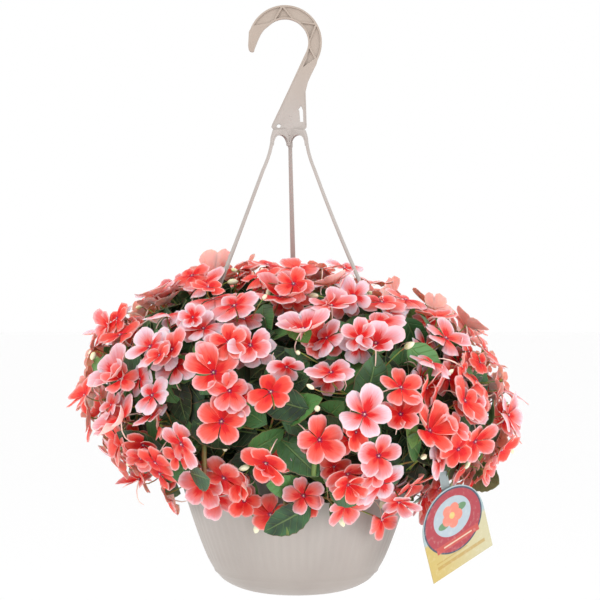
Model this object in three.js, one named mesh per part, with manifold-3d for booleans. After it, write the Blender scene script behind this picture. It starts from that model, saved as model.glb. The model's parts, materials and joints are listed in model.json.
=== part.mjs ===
// A busy lizzie (impatiens) hanging basket: a fluted white bowl filled with soil, a one-piece plastic hanger
// clipped under its rim, a plant label on a strap, and a full mound of leafy shoots and coral flowers.
// Millimetres, +Z up, -Y the front. The origin is the centre of the flat face under the bowl.
import * as THREE from "three";
import { mergeVertices } from "three/addons/utils/BufferGeometryUtils.js";
import Module from "manifold-3d";

const wasm = await Module();
wasm.setup();

// Driving dimensions.
const GAP = 0.3; // between pieces that rest on each other
const BOWL = {
  rim: 150, // outer radius of the lip
  height: 200,
  foot: 52, // radius of the flat underneath
  ringRadius: 87, // where the rounded bottom turns into the wall
  ringHeight: 19,
  lipHeight: 10,
  lipWidth: 4,
  wall: 2,
  flutes: 36,
  fluteDepth: 1.2,
};
const SOIL = { top: 176, crown: 185, holeDepth: 22 };
const HOOK = { x: -12.5, z: 599.5, outer: 40.5, inner: 25.5, thick: 7 };
const HEAD = { x: -8, top: 507, foot: 491 }; // the hub that the three arms spring from
const ARMS = [
  { azimuth: 210, bow: 1 },
  { azimuth: 330, bow: 7 },
  { azimuth: 90, bow: 4 },
];
const ARM = { width: 5.6, clipWidth: 8, thick: 3, hubRadius: 20 };
const LABEL = {
  width: 86,
  height: 50, // of the square part, up to the centre of its round top
  thick: 0.8,
  strap: 9.5,
  centre: [166, -92, 83],
  turn: [0.767, 0.5, 0.395], // along its lower edge
  upright: [-0.235, -0.36, 0.91], // up its side
};
const SHOOTS = 22;
const BLOOMS = 142;
const BLOOM = { least: 24, most: 30, thick: 0.8, stalk: 1.4, sway: 0.75, tries: 40 };
const LEAVES_PER_SHOOT = 3;
const LEAF = { least: 44, most: 62, thick: 0.8, stalk: 1.4, tries: 60 };
const STEM = 2.6; // radius of a shoot's stem
const GOLDEN = Math.PI * (3 - Math.sqrt(5));
const SEED = 17.3; // of every scattered place, size and turn

const COLOUR = {
  bowl: { color: 0xc4bbb4, roughness: 0.55, metalness: 0 },
  hanger: { color: 0xc9bcb4, roughness: 0.5, metalness: 0 },
  soil: { color: 0x2e2119, roughness: 0.95, metalness: 0 },
  label: { color: 0xdcc873, roughness: 0.4, metalness: 0 },
  leaf: { color: 0x2f6b2a, roughness: 0.5, metalness: 0 },
  bloom: { color: 0xf4705c, roughness: 0.6, metalness: 0 },
};

const basket = new THREE.Group();
basket.name = "hanging_basket";

// ---------------------------------------------------------------- tools

function solidOf(geometry, matrix) {
  const bare = geometry.index ? geometry.toNonIndexed() : geometry.clone();
  bare.deleteAttribute("normal");
  bare.deleteAttribute("uv");
  if (matrix) bare.applyMatrix4(matrix);
  const merged = mergeVertices(bare, 1e-3);
  return new wasm.Manifold(
    new wasm.Mesh({
      numProp: 3,
      vertProperties: new Float32Array(merged.attributes.position.array),
      triVerts: new Uint32Array(merged.index.array),
    }),
  );
}

function addPiece(name, solid, look) {
  const made = solid.getMesh();
  const geometry = new THREE.BufferGeometry();
  geometry.setAttribute("position", new THREE.BufferAttribute(made.vertProperties, made.numProp));
  geometry.setIndex(new THREE.BufferAttribute(made.triVerts, 1));
  geometry.computeVertexNormals();
  const mesh = new THREE.Mesh(geometry, new THREE.MeshStandardMaterial(look));
  mesh.name = name;
  basket.add(mesh);
}

// A closed surface built point by point; faces run anticlockwise seen from outside.
class Skin {
  constructor() {
    this.points = [];
    this.faces = [];
  }
  point(v) {
    return this.points.push(v.clone()) - 1;
  }
  face(a, b, c) {
    this.faces.push(a, b, c);
  }
  geometry() {
    const geometry = new THREE.BufferGeometry().setFromPoints(this.points);
    geometry.setIndex(this.faces);
    return geometry;
  }
}

// The same number in 0..1 for the same two whole numbers, with no order between them.
function draw(item, aspect) {
  const wave = Math.sin(item * 127.1 + aspect * 311.7 + SEED) * 43758.5453;
  return wave - Math.floor(wave);
}

const between = (low, high, share) => low + (high - low) * share;
const radians = (degrees) => (degrees * Math.PI) / 180;
const vector = (x, y, z) => new THREE.Vector3(x, y, z);
const around = (radius, azimuth, z) => vector(radius * Math.cos(azimuth), radius * Math.sin(azimuth), z);

// A frame whose Z axis is `facing`, turned by `roll` about it.
function frameAt(place, facing, roll) {
  const side = vector(0, 0, 1).cross(facing);
  if (side.length() < 1e-3) side.set(1, 0, 0);
  side.normalize().applyAxisAngle(facing, roll);
  const over = facing.clone().cross(side);
  return new THREE.Matrix4().makeBasis(side, over, facing).setPosition(place);
}

// ---------------------------------------------------------------- bowl and soil

const UNDER_LIP = BOWL.height - BOWL.lipHeight;
const WALL_STATIONS = [70, 125]; // heights at which the wall's facets meet
const wallCurve = new THREE.QuadraticBezierCurve(
  new THREE.Vector2(BOWL.ringRadius, BOWL.ringHeight),
  new THREE.Vector2(111, 60),
  new THREE.Vector2(BOWL.rim - BOWL.lipWidth, UNDER_LIP),
);
const bottomCurve = new THREE.QuadraticBezierCurve(
  new THREE.Vector2(BOWL.foot, 0),
  new THREE.Vector2(76, 3),
  new THREE.Vector2(BOWL.ringRadius, BOWL.ringHeight),
);

// The outer radius of the bowl's wall at a height.
function wallRadius(z) {
  const curve = z < BOWL.ringHeight ? bottomCurve : wallCurve;
  let low = 0;
  let high = 1;
  for (let step = 0; step < 20; step++) {
    const middle = (low + high) / 2;
    if (curve.getPoint(middle).y < z) low = middle;
    else high = middle;
  }
  return curve.getPoint(low).x;
}

// What fills the bowl up to `top`, held off the outside of the wall by `inset`.
function filling(inset, top, crown) {
  const profile = [new THREE.Vector2(0, inset), new THREE.Vector2(BOWL.foot, inset)];
  for (const z of [BOWL.ringHeight + BOWL.wall, ...WALL_STATIONS, SOIL.top])
    profile.push(new THREE.Vector2(wallRadius(z) - inset, z));
  if (top > SOIL.top) profile.push(new THREE.Vector2(wallRadius(UNDER_LIP) - inset, top));
  profile.push(new THREE.Vector2(0, crown));
  return new THREE.LatheGeometry(profile, 24).rotateX(Math.PI / 2);
}

function addBowl() {
  const profile = [new THREE.Vector2(0, 0), new THREE.Vector2(BOWL.foot, 0)];
  for (const z of [BOWL.ringHeight, ...WALL_STATIONS, UNDER_LIP])
    profile.push(new THREE.Vector2(wallRadius(z), z));
  profile.push(new THREE.Vector2(BOWL.rim, UNDER_LIP));
  profile.push(new THREE.Vector2(BOWL.rim, BOWL.height));
  profile.push(new THREE.Vector2(0, BOWL.height));
  const outside = new THREE.LatheGeometry(profile, 2 * BOWL.flutes).rotateX(Math.PI / 2);
  const place = outside.getAttribute("position");
  for (let i = 0; i < place.count; i++) {
    const [x, y, z] = [place.getX(i), place.getY(i), place.getZ(i)];
    if (z < BOWL.ringHeight - 1 || z > UNDER_LIP - 1) continue;
    const ridge = Math.round((Math.atan2(y, x) / Math.PI) * BOWL.flutes) % 2 ? 0 : BOWL.fluteDepth;
    const share = 1 - ridge / Math.hypot(x, y);
    place.setXY(i, x * share, y * share);
  }
  const inside = filling(BOWL.fluteDepth + BOWL.wall, BOWL.height + 1, BOWL.height + 1);
  addPiece("bowl", solidOf(outside).subtract(solidOf(inside)), COLOUR.bowl);
}

// ---------------------------------------------------------------- hanger

function extruded(shape, depth, curveSegments) {
  const geometry = new THREE.ExtrudeGeometry(shape, { depth, bevelEnabled: false, curveSegments });
  return geometry.translate(0, 0, -depth / 2);
}

// The hook and the plate under it, seen from the front.
function hookShape() {
  const shape = new THREE.Shape();
  shape.moveTo(-49.5, 589);
  shape.lineTo(-52.5, 593);
  shape.lineTo(-52, 611);
  shape.absarc(HOOK.x, HOOK.z, HOOK.outer, radians(162), radians(-30), true);
  shape.quadraticCurveTo(8.5, 561, 9.8, 546);
  shape.lineTo(11.4, HEAD.top);
  shape.lineTo(8.5, 503.5);
  shape.lineTo(11, HEAD.foot + 7);
  shape.lineTo(HEAD.x - 19, HEAD.foot + 7);
  shape.lineTo(HEAD.x - 17, 503.5);
  shape.lineTo(HEAD.x - 19.5, HEAD.top);
  shape.lineTo(13.4, 590);
  shape.absarc(HOOK.x, HOOK.z, HOOK.inner, radians(-20), radians(136), false);
  shape.quadraticCurveTo(-44, 606, -46, 592);
  shape.closePath();
  const eye = new THREE.Path();
  eye.absarc(-19.4, 508, 2.2, 0, 2 * Math.PI, false);
  shape.holes.push(eye);
  const arrow = new THREE.Path();
  arrow.moveTo(4.7, 530.5);
  arrow.lineTo(1.5, 525.5);
  arrow.lineTo(3.3, 525.5);
  arrow.lineTo(3.3, 512);
  arrow.lineTo(7.2, 512);
  arrow.lineTo(7.2, 525.5);
  arrow.closePath();
  shape.holes.push(arrow);
  return shape;
}

// The shallow recesses between the hook's two edge ribs, left where the zigzag of raised ribs crosses them.
function hookRecesses() {
  const [inner, outer] = [HOOK.inner + 2.2, HOOK.outer - 2.2];
  const turns = [150, 122, 94, 66, 38, 10, -16].map(radians);
  const spot = (radius, turn) =>
    new THREE.Vector2(HOOK.x + radius * Math.cos(turn), HOOK.z + radius * Math.sin(turn));
  const shapes = [];
  const rib = radians(2.6);
  for (let i = 0; i + 2 < turns.length; i++) {
    const [wide, narrow] = i % 2 ? [inner, outer] : [outer, inner];
    shapes.push(
      new THREE.Shape([
        spot(wide, turns[i] - rib),
        spot(wide, turns[i + 1]),
        spot(wide, turns[i + 2] + rib),
        spot(narrow, turns[i + 1]),
      ]),
    );
  }
  return shapes;
}

// The vertical plane that an arm lies in: from the hub to its place on the rim.
function armPlane(arm) {
  const rim = around(BOWL.rim, radians(arm.azimuth), 0);
  const way = rim.clone().sub(vector(HEAD.x, 0, 0));
  return { reach: way.length(), azimuth: Math.atan2(way.y, way.x) };
}

// An arm seen from its side: a web with an arch under it, a thin bar, and a hook under the bowl's lip.
function armShape(arm) {
  const { reach } = armPlane(arm);
  const half = ARM.thick / 2;
  const lip = reach + GAP;
  const start = new THREE.Vector2(ARM.hubRadius - half, HEAD.foot + 2);
  const end = new THREE.Vector2(lip + half, BOWL.height + 4);
  const middle = start.clone().lerp(end, 0.4);
  middle.x -= 2 * arm.bow;
  const bar = new THREE.QuadraticBezierCurve(start, middle, end);
  const outer = [];
  const inner = [];
  const steps = 4;
  for (let step = 0; step <= steps; step++) {
    const spot = bar.getPoint(step / steps);
    const along = bar.getTangent(step / steps);
    outer.push(new THREE.Vector2(spot.x - along.y * half, spot.y + along.x * half));
    inner.push(new THREE.Vector2(spot.x + along.y * half, spot.y - along.x * half));
  }
  const clip = [
    new THREE.Vector2(lip + ARM.thick, UNDER_LIP - 5),
    new THREE.Vector2(lip - 3, UNDER_LIP - 5),
    new THREE.Vector2(lip - 3, UNDER_LIP - GAP),
    new THREE.Vector2(lip, UNDER_LIP - GAP),
  ];
  const arch = [
    new THREE.Vector2(14, HEAD.foot + 5.5),
    new THREE.Vector2(9, HEAD.foot + 7),
    new THREE.Vector2(4.5, HEAD.foot + 5),
    new THREE.Vector2(2.6, HEAD.foot),
    new THREE.Vector2(-2.6, HEAD.foot),
    new THREE.Vector2(-2.6, HEAD.top - 1),
    new THREE.Vector2(ARM.hubRadius - 3, HEAD.top - 2),
  ];
  return new THREE.Shape([...outer, ...clip, ...inner.reverse(), ...arch]);
}

// The bar's side view has X outwards and Y up; its width runs along the rim and grows downwards.
function armGeometry(arm) {
  const geometry = extruded(armShape(arm), 1, 4);
  const place = geometry.getAttribute("position");
  for (let i = 0; i < place.count; i++) {
    const share = THREE.MathUtils.clamp((HEAD.foot - place.getY(i)) / (HEAD.foot - BOWL.height), 0, 1);
    place.setZ(i, place.getZ(i) * between(ARM.width, ARM.clipWidth, share));
  }
  const turn = new THREE.Matrix4().makeRotationZ(armPlane(arm).azimuth);
  return geometry
    .rotateX(Math.PI / 2)
    .applyMatrix4(turn)
    .translate(HEAD.x, 0, 0);
}

function makeHanger() {
  let hanger = solidOf(extruded(hookShape(), HOOK.thick, 7).rotateX(Math.PI / 2));
  const recessDepth = 2;
  for (const shape of hookRecesses())
    for (const side of [-1, 1]) {
      const recess = extruded(shape, 2 * recessDepth, 3).rotateX(Math.PI / 2);
      hanger = hanger.subtract(solidOf(recess.translate(0, (side * HOOK.thick) / 2, 0)));
    }
  for (const arm of ARMS) hanger = hanger.add(solidOf(armGeometry(arm)));
  return hanger;
}

// ---------------------------------------------------------------- label

// Its strap seen from the side: out of the soil, over the rim and down to the card. X is outwards.
const STRAP_FOOT = new THREE.Vector2(131, SOIL.top - 14);
const STRAP_STEPS = 8;
function strapCurve(end) {
  return new THREE.SplineCurve([
    STRAP_FOOT,
    new THREE.Vector2(132, 188),
    new THREE.Vector2(141, 206),
    new THREE.Vector2(153, 209),
    new THREE.Vector2(164, 198),
    new THREE.Vector2(178, 165),
    new THREE.Vector2(Math.hypot(end.x, end.y), end.z),
  ]);
}

// The azimuth that the strap comes down at, and the slot that its foot stands in.
const strapTurn = () => Math.atan2(cardTop().y, cardTop().x);
function strapSlot() {
  const slot = new THREE.BoxGeometry(9, LABEL.strap + 2 * GAP, 2 * (SOIL.top - STRAP_FOOT.y + GAP));
  slot.translate(STRAP_FOOT.x + 0.5, 0, SOIL.top);
  return solidOf(slot, new THREE.Matrix4().makeRotationZ(strapTurn()));
}

const cardTop = () => vector(0, LABEL.width / 2 - 3, 0).applyMatrix4(cardFrame());

function cardFrame() {
  const along = vector(...LABEL.turn).normalize();
  const facing = along.clone().cross(vector(...LABEL.upright)).normalize();
  const up = facing.clone().cross(along);
  return new THREE.Matrix4().makeBasis(along, up, facing).setPosition(vector(...LABEL.centre));
}

function makeLabel() {
  const half = LABEL.width / 2;
  const card = new THREE.Shape();
  card.moveTo(-half, -LABEL.height);
  card.lineTo(half, -LABEL.height);
  card.lineTo(half, 0);
  card.absarc(0, 0, half, 0, Math.PI, false);
  card.closePath();
  const label = solidOf(extruded(card, LABEL.thick, 7), cardFrame());
  const curve = strapCurve(cardTop());
  const outer = curve.getPoints(STRAP_STEPS);
  const inner = [];
  for (let i = 0; i <= STRAP_STEPS; i++) {
    const along = curve.getTangent(i / STRAP_STEPS);
    const spot = curve.getPoint(i / STRAP_STEPS);
    inner.push(new THREE.Vector2(spot.x + along.y * LABEL.thick, spot.y - along.x * LABEL.thick));
  }
  const strap = extruded(new THREE.Shape([...outer, ...inner.reverse()]), LABEL.strap, 1);
  const turn = new THREE.Matrix4().makeRotationZ(strapTurn());
  return label.add(solidOf(strap.rotateX(Math.PI / 2), turn));
}

// ---------------------------------------------------------------- the mound's form

// Half an outline of the mound, from its top to its lowest fringe, and the shell inside it
// on which the shoots end. X is the distance from the axis.
const outlineOf = (...spots) => new THREE.SplineCurve(spots.map(([x, y]) => new THREE.Vector2(x, y)));
const OUTSIDE = outlineOf(
  ...[[0, 358], [88, 342], [153, 319], [199, 283], [224, 240]],
  ...[[230, 196], [216, 161], [180, 132], [151, 107], [138, 88]],
);
const INSIDE = outlineOf(
  ...[[0, 299], [76, 286], [126, 265], [161, 234], [178, 208]],
  ...[[183, 182], [177, 156], [165, 134], [153, 116], [146, 102]],
);

// The mound swells and dips a little round the axis, as a plant that grows freely does.
function onMound(curve, share, azimuth) {
  const spot = curve.getPoint(share);
  const swell = 1.01 + 0.02 * Math.cos(2 * azimuth + 0.3) + 0.014 * Math.cos(5 * azimuth + 1);
  const rise = 1 + 0.045 * Math.cos(azimuth - 2.9) * Math.sin(Math.PI * share);
  return around(spot.x * swell, azimuth, spot.y * rise);
}

function outwards(share, azimuth, lift) {
  const tangent = OUTSIDE.getTangent(share);
  return around(-tangent.y, azimuth, tangent.x + lift).normalize();
}

// Shares of the outline that cut the mound into rings of equal area.
const AREA_STEPS = 200;
const areaTable = [0];
for (let step = 1; step <= AREA_STEPS; step++) {
  const [a, b] = [OUTSIDE.getPoint((step - 1) / AREA_STEPS), OUTSIDE.getPoint(step / AREA_STEPS)];
  areaTable.push(areaTable[step - 1] + a.distanceTo(b) * (a.x + b.x) * 0.5);
}
function shareOfArea(part) {
  const wanted = part * areaTable[AREA_STEPS];
  const step = areaTable.findIndex((area) => area >= wanted);
  if (step < 1) return 0;
  const [low, high] = [areaTable[step - 1], areaTable[step]];
  return (step - 1 + (wanted - low) / (high - low)) / AREA_STEPS;
}

// ---------------------------------------------------------------- what has to be kept clear

const placed = []; // { owner, solid }

function boxesMeet(a, b) {
  const [p, q] = [a.boundingBox(), b.boundingBox()];
  return [0, 1, 2].every((i) => p.min[i] <= q.max[i] && q.min[i] <= p.max[i]);
}

const meets = (a, b) => boxesMeet(a, b) && !a.intersect(b).isEmpty();

function isClear(solid, except) {
  return placed.every((other) => except.includes(other.owner) || !meets(solid, other.solid));
}

// ---------------------------------------------------------------- stems

// A straight three-sided bar between two points.
function barGeometry(from, to, radius) {
  const way = to.clone().sub(from);
  const turn = new THREE.Quaternion().setFromUnitVectors(vector(0, 1, 0), way.clone().normalize());
  return new THREE.CylinderGeometry(radius, radius, way.length(), 3, 1)
    .applyQuaternion(turn)
    .translate(...from.clone().lerp(to, 0.5).toArray());
}

// An azimuth at least `room` away from every arm of the hanger.
function clearOfArms(azimuth, room) {
  for (const arm of ARMS) {
    const way = radians(arm.azimuth);
    const off = Math.atan2(Math.sin(azimuth - way), Math.cos(azimuth - way));
    if (Math.abs(off) < room) return way + (off < 0 ? -room : room);
  }
  return azimuth;
}

// Where a shoot ends, and the way its stem comes there from its hole in the soil: straight up,
// then over the rim where the shoot reaches outside it, and down again where it trails.
function planShoot(index) {
  const share = shareOfArea((index + 0.5) / SHOOTS);
  const azimuth = clearOfArms(index * GOLDEN + 0.9, 0.13);
  const tip = onMound(INSIDE, share, azimuth);
  const radius = Math.hypot(tip.x, tip.y);
  const rootRadius = Math.min(120 - 14 * (index % 2), 0.6 * radius + 6);
  const root = around(rootRadius, azimuth, SOIL.top - SOIL.holeDepth + GAP);
  const points = [root, root.clone().setZ(SOIL.top + 12)];
  const trails = tip.z < 165;
  const crossing = 0.42 * (tip.z - BOWL.height) + BOWL.height;
  if (radius > 125) points.push(around(BOWL.rim - 4, azimuth, Math.max(crossing, BOWL.height + 14)));
  if (trails) points.push(around(Math.max(BOWL.rim + 13, radius + 3), azimuth, between(tip.z, 215, 0.62)));
  const lean = trails ? -0.9 : THREE.MathUtils.clamp((tip.z - 200) / 60, -0.2, 0.9);
  const axis = around(radius < 30 ? 0.25 : 0.75, azimuth, lean).normalize();
  points.push(tip.clone().addScaledVector(axis, -13));
  points.push(tip.clone().addScaledVector(axis, -GAP));
  const path = new THREE.CatmullRomCurve3(points);
  const steps = points.length + 2;
  const rings = path.getSpacedPoints(steps);
  const names = { name: `shoot_${index + 1}`, spray: `blooms_${index + 1}` };
  return { ...names, index, azimuth, share, tip, axis, root, path, steps, rings };
}

function triangleOf(radius) {
  const corner = (turn) => new THREE.Vector2(radius * Math.cos(turn), radius * Math.sin(turn));
  return new THREE.Shape([0, 120, 240].map(radians).map(corner));
}

function stemGeometry(shoot) {
  const { steps, path } = shoot;
  return new THREE.ExtrudeGeometry(triangleOf(STEM), { steps, bevelEnabled: false, extrudePath: path });
}

// ---------------------------------------------------------------- flowers

const PETALS = 5;

// A flower about its own Z axis, which it faces along: five broad notched petals round a sunk eye,
// narrowing underneath to a stalk whose foot is at `foot`. `grow` thickens it for a test of room.
function bloomGeometry(radius, foot, grow = 0) {
  const skin = new Skin();
  const top = [];
  const under = [];
  const eye = skin.point(vector(0, 0, grow - 1.6));
  for (let petal = 0; petal < PETALS; petal++) {
    const turn = (2 * Math.PI * petal) / PETALS;
    const long = (radius + grow) * (petal === 0 ? 1.06 : 1);
    const valley = skin.point(around(0.6 * radius + grow, turn, 0.4));
    const [left, tip, right] = [0.24, 0.5, 0.76].map((part) => turn + (2 * Math.PI * part) / PETALS);
    const [a, b] = [left, right].map((angle) => skin.point(around(long, angle, grow + 0.6)));
    const low = skin.point(around(0.97 * long, tip, -BLOOM.thick - grow));
    top.push(valley, a, b);
    under.push(skin.point(around(0.6 * radius + grow, turn, -0.3 - grow)), low);
  }
  for (let i = 0; i < top.length; i++) skin.face(eye, top[i], top[(i + 1) % top.length]);
  for (let petal = 0; petal < PETALS; petal++) {
    const [valley, a, b] = top.slice(3 * petal, 3 * petal + 3);
    const [root, low] = under.slice(2 * petal, 2 * petal + 2);
    const next = top[(3 * petal + 3) % top.length];
    const nextRoot = under[(2 * petal + 2) % under.length];
    skin.face(valley, root, a);
    skin.face(root, low, a);
    skin.face(a, low, b);
    skin.face(b, low, nextRoot);
    skin.face(b, nextRoot, next);
  }
  const neck = vector(0, 0, -4.5);
  const down = foot.clone().sub(neck).normalize();
  const turn = new THREE.Quaternion().setFromUnitVectors(vector(0, 0, -1), down);
  const stalk = BLOOM.stalk + grow;
  const ring = (centre, size) =>
    [0, 1, 2].map((i) => {
      const spoke = around(size, (2 * Math.PI * i) / 3, 0).applyQuaternion(turn);
      return skin.point(spoke.add(centre));
    });
  const collar = ring(neck, stalk + 0.6);
  const end = ring(foot, stalk);
  const side = [0, 0, 0, 0, 1, 1, 1, 2, 2, 2]; // the collar's corner that each point of the rim runs down to
  for (let i = 0; i < under.length; i++) {
    const next = (i + 1) % under.length;
    skin.face(collar[side[i]], under[next], under[i]);
    if (side[i] !== side[next]) skin.face(collar[side[i]], collar[side[next]], under[next]);
  }
  for (let i = 0; i < 3; i++) {
    const next = (i + 1) % 3;
    skin.face(collar[i], end[i], end[next]);
    skin.face(collar[i], end[next], collar[next]);
  }
  skin.face(end[0], end[2], end[1]);
  return skin.geometry();
}

// Where the stalks of a spray meet, seated on the tip of its shoot.
const HUB = { radius: 6, height: 5.5, spread: 1.7 };
function hubSolid(shoot) {
  const hub = new THREE.ExtrudeGeometry(triangleOf(HUB.radius), { depth: HUB.height, bevelEnabled: false });
  return solidOf(hub, frameAt(shoot.tip, shoot.axis, 0));
}

// The end inside the hub of the stalk that comes from `place`, a little to that side of the hub's middle.
function stalkFoot(shoot, place) {
  const middle = shoot.tip.clone().addScaledVector(shoot.axis, HUB.height / 2);
  const way = place.clone().sub(middle);
  way.addScaledVector(shoot.axis, -way.dot(shoot.axis)).clampLength(0, HUB.spread);
  return middle.add(way);
}

// A flower on the mound's outside, in the first of several stances that leaves its neighbours free.
function growBloom(index, shoots) {
  const share = shareOfArea((index + 0.5) / BLOOMS);
  for (let attempt = 0; attempt < BLOOM.tries; attempt++) {
    const reach = 1 + attempt / 8;
    const lot = (aspect) => draw(index, attempt + aspect) - 0.5;
    const azimuth = index * GOLDEN + (0.1 + 0.02 * attempt) * lot(31);
    const nudge = THREE.MathUtils.clamp(share + 0.012 * reach * lot(61), 0, 1);
    const facing = outwards(nudge, azimuth, 0.3);
    const depth = between(-9, 4, lot(91) + 0.5) - (attempt > 12 ? 5 : 0);
    const place = onMound(OUTSIDE, nudge, azimuth).addScaledVector(facing, depth);
    facing.add(vector(lot(127), lot(134), lot(141)).multiplyScalar(BLOOM.sway)).normalize();
    const radius = between(BLOOM.least, BLOOM.most, draw(index, 5)) * (attempt > 18 ? 0.88 : 1);
    const nearest = shoots
      .map((shoot) => ({ shoot, away: shoot.tip.distanceTo(place) }))
      .sort((a, b) => a.away - b.away);
    for (const { shoot } of nearest.slice(0, attempt < 8 ? 1 : 2)) {
      const frame = frameAt(place, facing, draw(index, 7) * 2 * Math.PI);
      const foot = stalkFoot(shoot, place).applyMatrix4(frame.clone().invert());
      if (foot.z > -12) continue;
      const room = solidOf(bloomGeometry(radius, foot, 0.4), frame);
      if (!isClear(room, [shoot.spray, shoot.name])) continue;
      const head = solidOf(bloomGeometry(radius, vector(0, 0, -6)), frame);
      const solid = solidOf(bloomGeometry(radius, foot), frame);
      const sisters = placed.filter((other) => other.owner === shoot.spray && other.head);
      if (sisters.some((other) => meets(solid, other.head) || meets(head, other.solid))) continue;
      if (meets(solid, shoot.green)) continue;
      placed.push({ owner: shoot.spray, solid, head });
      shoot.blooms = shoot.blooms.add(solid);
      return;
    }
  }
}

// ---------------------------------------------------------------- leaves

// A leaf along its own X axis, folded a little on its midrib, with scalloped sides.
// Its stalk's foot is at `foot`. The notches are shared by both faces and the lobes are a blade thick.
function leafGeometry(long, wide, foot, grow = 0) {
  const skin = new Skin();
  const fold = 0.16;
  const halfWidth = (x) => 0.5 * wide * Math.sin(Math.PI * Math.pow(x, 0.8)) ** 0.75;
  const spot = (x, side, notch) => {
    const away = side * (halfWidth(x) * (notch ? 0.86 : 1.08) + grow);
    return vector(x * long, away, fold * Math.abs(away) - 0.09 * long * x * x);
  };
  const stations = [0.17, 0.36, 0.56, 0.78];
  const [right, left] = [-1, 1].map((side) =>
    stations.map((x, i) => ({ at: spot(x, side, i % 2), notch: i % 2 === 1 })),
  );
  const tip = { at: vector(long + grow, 0, -0.09 * long), notch: false };
  const rim = [...right, tip, ...left.reverse()];
  const drop = vector(0, 0, -LEAF.thick / 2 - grow);
  const top = [];
  const under = [];
  for (const { at, notch } of rim) {
    const upper = skin.point(notch ? at : at.clone().sub(drop));
    top.push(upper);
    under.push(notch ? upper : skin.point(at.clone().add(drop)));
  }
  const rib = vector(0.45 * long, 0, -0.02 * long);
  const [ribTop, ribUnder] = [skin.point(rib.clone().sub(drop)), skin.point(rib.clone().add(drop))];
  const turn = new THREE.Quaternion().setFromUnitVectors(vector(-1, 0, 0), foot.clone().normalize());
  const ring = (centre, size) =>
    [90, 210, 330].map((angle) => {
      const spoke = vector(0, Math.cos(radians(angle)), Math.sin(radians(angle))).multiplyScalar(size);
      return skin.point(spoke.applyQuaternion(turn).add(centre));
    });
  const stalk = LEAF.stalk + grow;
  const neck = ring(vector(0, 0, 0), stalk);
  const end = ring(foot, stalk);
  for (let i = 0; i + 1 < top.length; i++) {
    skin.face(ribTop, top[i], top[i + 1]);
    skin.face(ribUnder, under[i + 1], under[i]);
    if (top[i] === under[i]) skin.face(top[i], under[i + 1], top[i + 1]);
    else if (top[i + 1] === under[i + 1]) skin.face(top[i], under[i], top[i + 1]);
    else {
      skin.face(top[i], under[i], under[i + 1]);
      skin.face(top[i], under[i + 1], top[i + 1]);
    }
  }
  const last = top.length - 1;
  const [crest, leftLow, rightLow] = [neck[0], neck[2], neck[1]];
  skin.face(ribTop, top[last], crest);
  skin.face(ribTop, crest, top[0]);
  skin.face(top[last], under[last], leftLow);
  skin.face(top[last], leftLow, crest);
  skin.face(top[0], crest, rightLow);
  skin.face(top[0], rightLow, under[0]);
  skin.face(ribUnder, leftLow, under[last]);
  skin.face(ribUnder, rightLow, leftLow);
  skin.face(ribUnder, under[0], rightLow);
  for (let i = 0; i < 3; i++) {
    const next = (i + 1) % 3;
    skin.face(neck[next], neck[i], end[i]);
    skin.face(neck[next], end[i], end[next]);
  }
  skin.face(end[0], end[2], end[1]);
  return skin.geometry();
}

// Leaves spring from the last stretch of a stem and spread under the flowers, in the first free stances.
function growLeaves(shoot) {
  let grown = 0;
  for (let attempt = 0; attempt < LEAF.tries && grown < LEAVES_PER_SHOOT; attempt++) {
    const key = 100 * shoot.index + attempt;
    const along = shoot.axis;
    const side = frameAt(shoot.tip, along, attempt * GOLDEN + shoot.index);
    const out = vector(1, 0, 0).transformDirection(side);
    const joint = shoot.rings.at(-1).clone().lerp(shoot.rings.at(-2), between(0.25, 0.9, draw(key, 1)));
    const climb = radians(between(25, 62, draw(key, 2)));
    const stalkWay = along.clone().multiplyScalar(Math.sin(climb)).addScaledVector(out, Math.cos(climb));
    const start = joint.clone().addScaledVector(stalkWay, between(18, 30, draw(key, 3)));
    const rise = radians(between(-12, 34, draw(key, 4)));
    const way = along.clone().multiplyScalar(Math.sin(rise)).addScaledVector(out, Math.cos(rise)).normalize();
    const outside = outwards(shoot.share, shoot.azimuth, 0.55);
    const across = outside.clone().cross(way);
    if (across.length() < 0.35) continue;
    across.normalize();
    const over = way.clone().cross(across);
    const frame = new THREE.Matrix4().makeBasis(way, across, over).setPosition(start);
    const foot = joint.clone().applyMatrix4(frame.clone().invert());
    if (foot.x > -4) continue;
    const long = between(LEAF.least, LEAF.most, draw(key, 5));
    const wide = long * between(0.56, 0.66, draw(key, 6));
    const room = solidOf(leafGeometry(long, wide, foot, 0.5), frame);
    if (!isClear(room, [shoot.name, "soil"])) continue;
    if (placed.some((other) => other.owner === shoot.name && other.leaf && meets(room, other.leaf))) continue;
    const solid = solidOf(leafGeometry(long, wide, foot), frame);
    placed.push({ owner: shoot.name, solid, leaf: room });
    shoot.green = shoot.green.add(solid);
    grown++;
  }
}

// ---------------------------------------------------------------- building

addBowl();
const hanger = makeHanger();
const label = makeLabel();
addPiece("hanger", hanger, COLOUR.hanger);
addPiece("label", label, COLOUR.label);

// A solid drum of the bowl's size, a little larger at its rim, that flowers and leaves grow round.
const drum = [
  [0, 20],
  [BOWL.ringRadius + 9, 20],
  [BOWL.rim - 2, BOWL.height - 29],
  [BOWL.rim + 1, BOWL.height - 29],
  [BOWL.rim + 1, BOWL.height + 1],
  [0, BOWL.height + 1],
].map(([x, y]) => new THREE.Vector2(x, y));
placed.push({ owner: "bowl", solid: solidOf(new THREE.LatheGeometry(drum, 32).rotateX(Math.PI / 2)) });
placed.push({ owner: "hanger", solid: hanger });
placed.push({ owner: "label", solid: label });

const shoots = [];
for (let index = 0; index < SHOOTS; index++) {
  const shoot = planShoot(index);
  shoot.green = solidOf(stemGeometry(shoot));
  shoot.blooms = hubSolid(shoot);
  shoots.push(shoot);
  placed.push({ owner: shoot.name, solid: shoot.green });
  placed.push({ owner: shoot.spray, solid: shoot.blooms });
}

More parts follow.
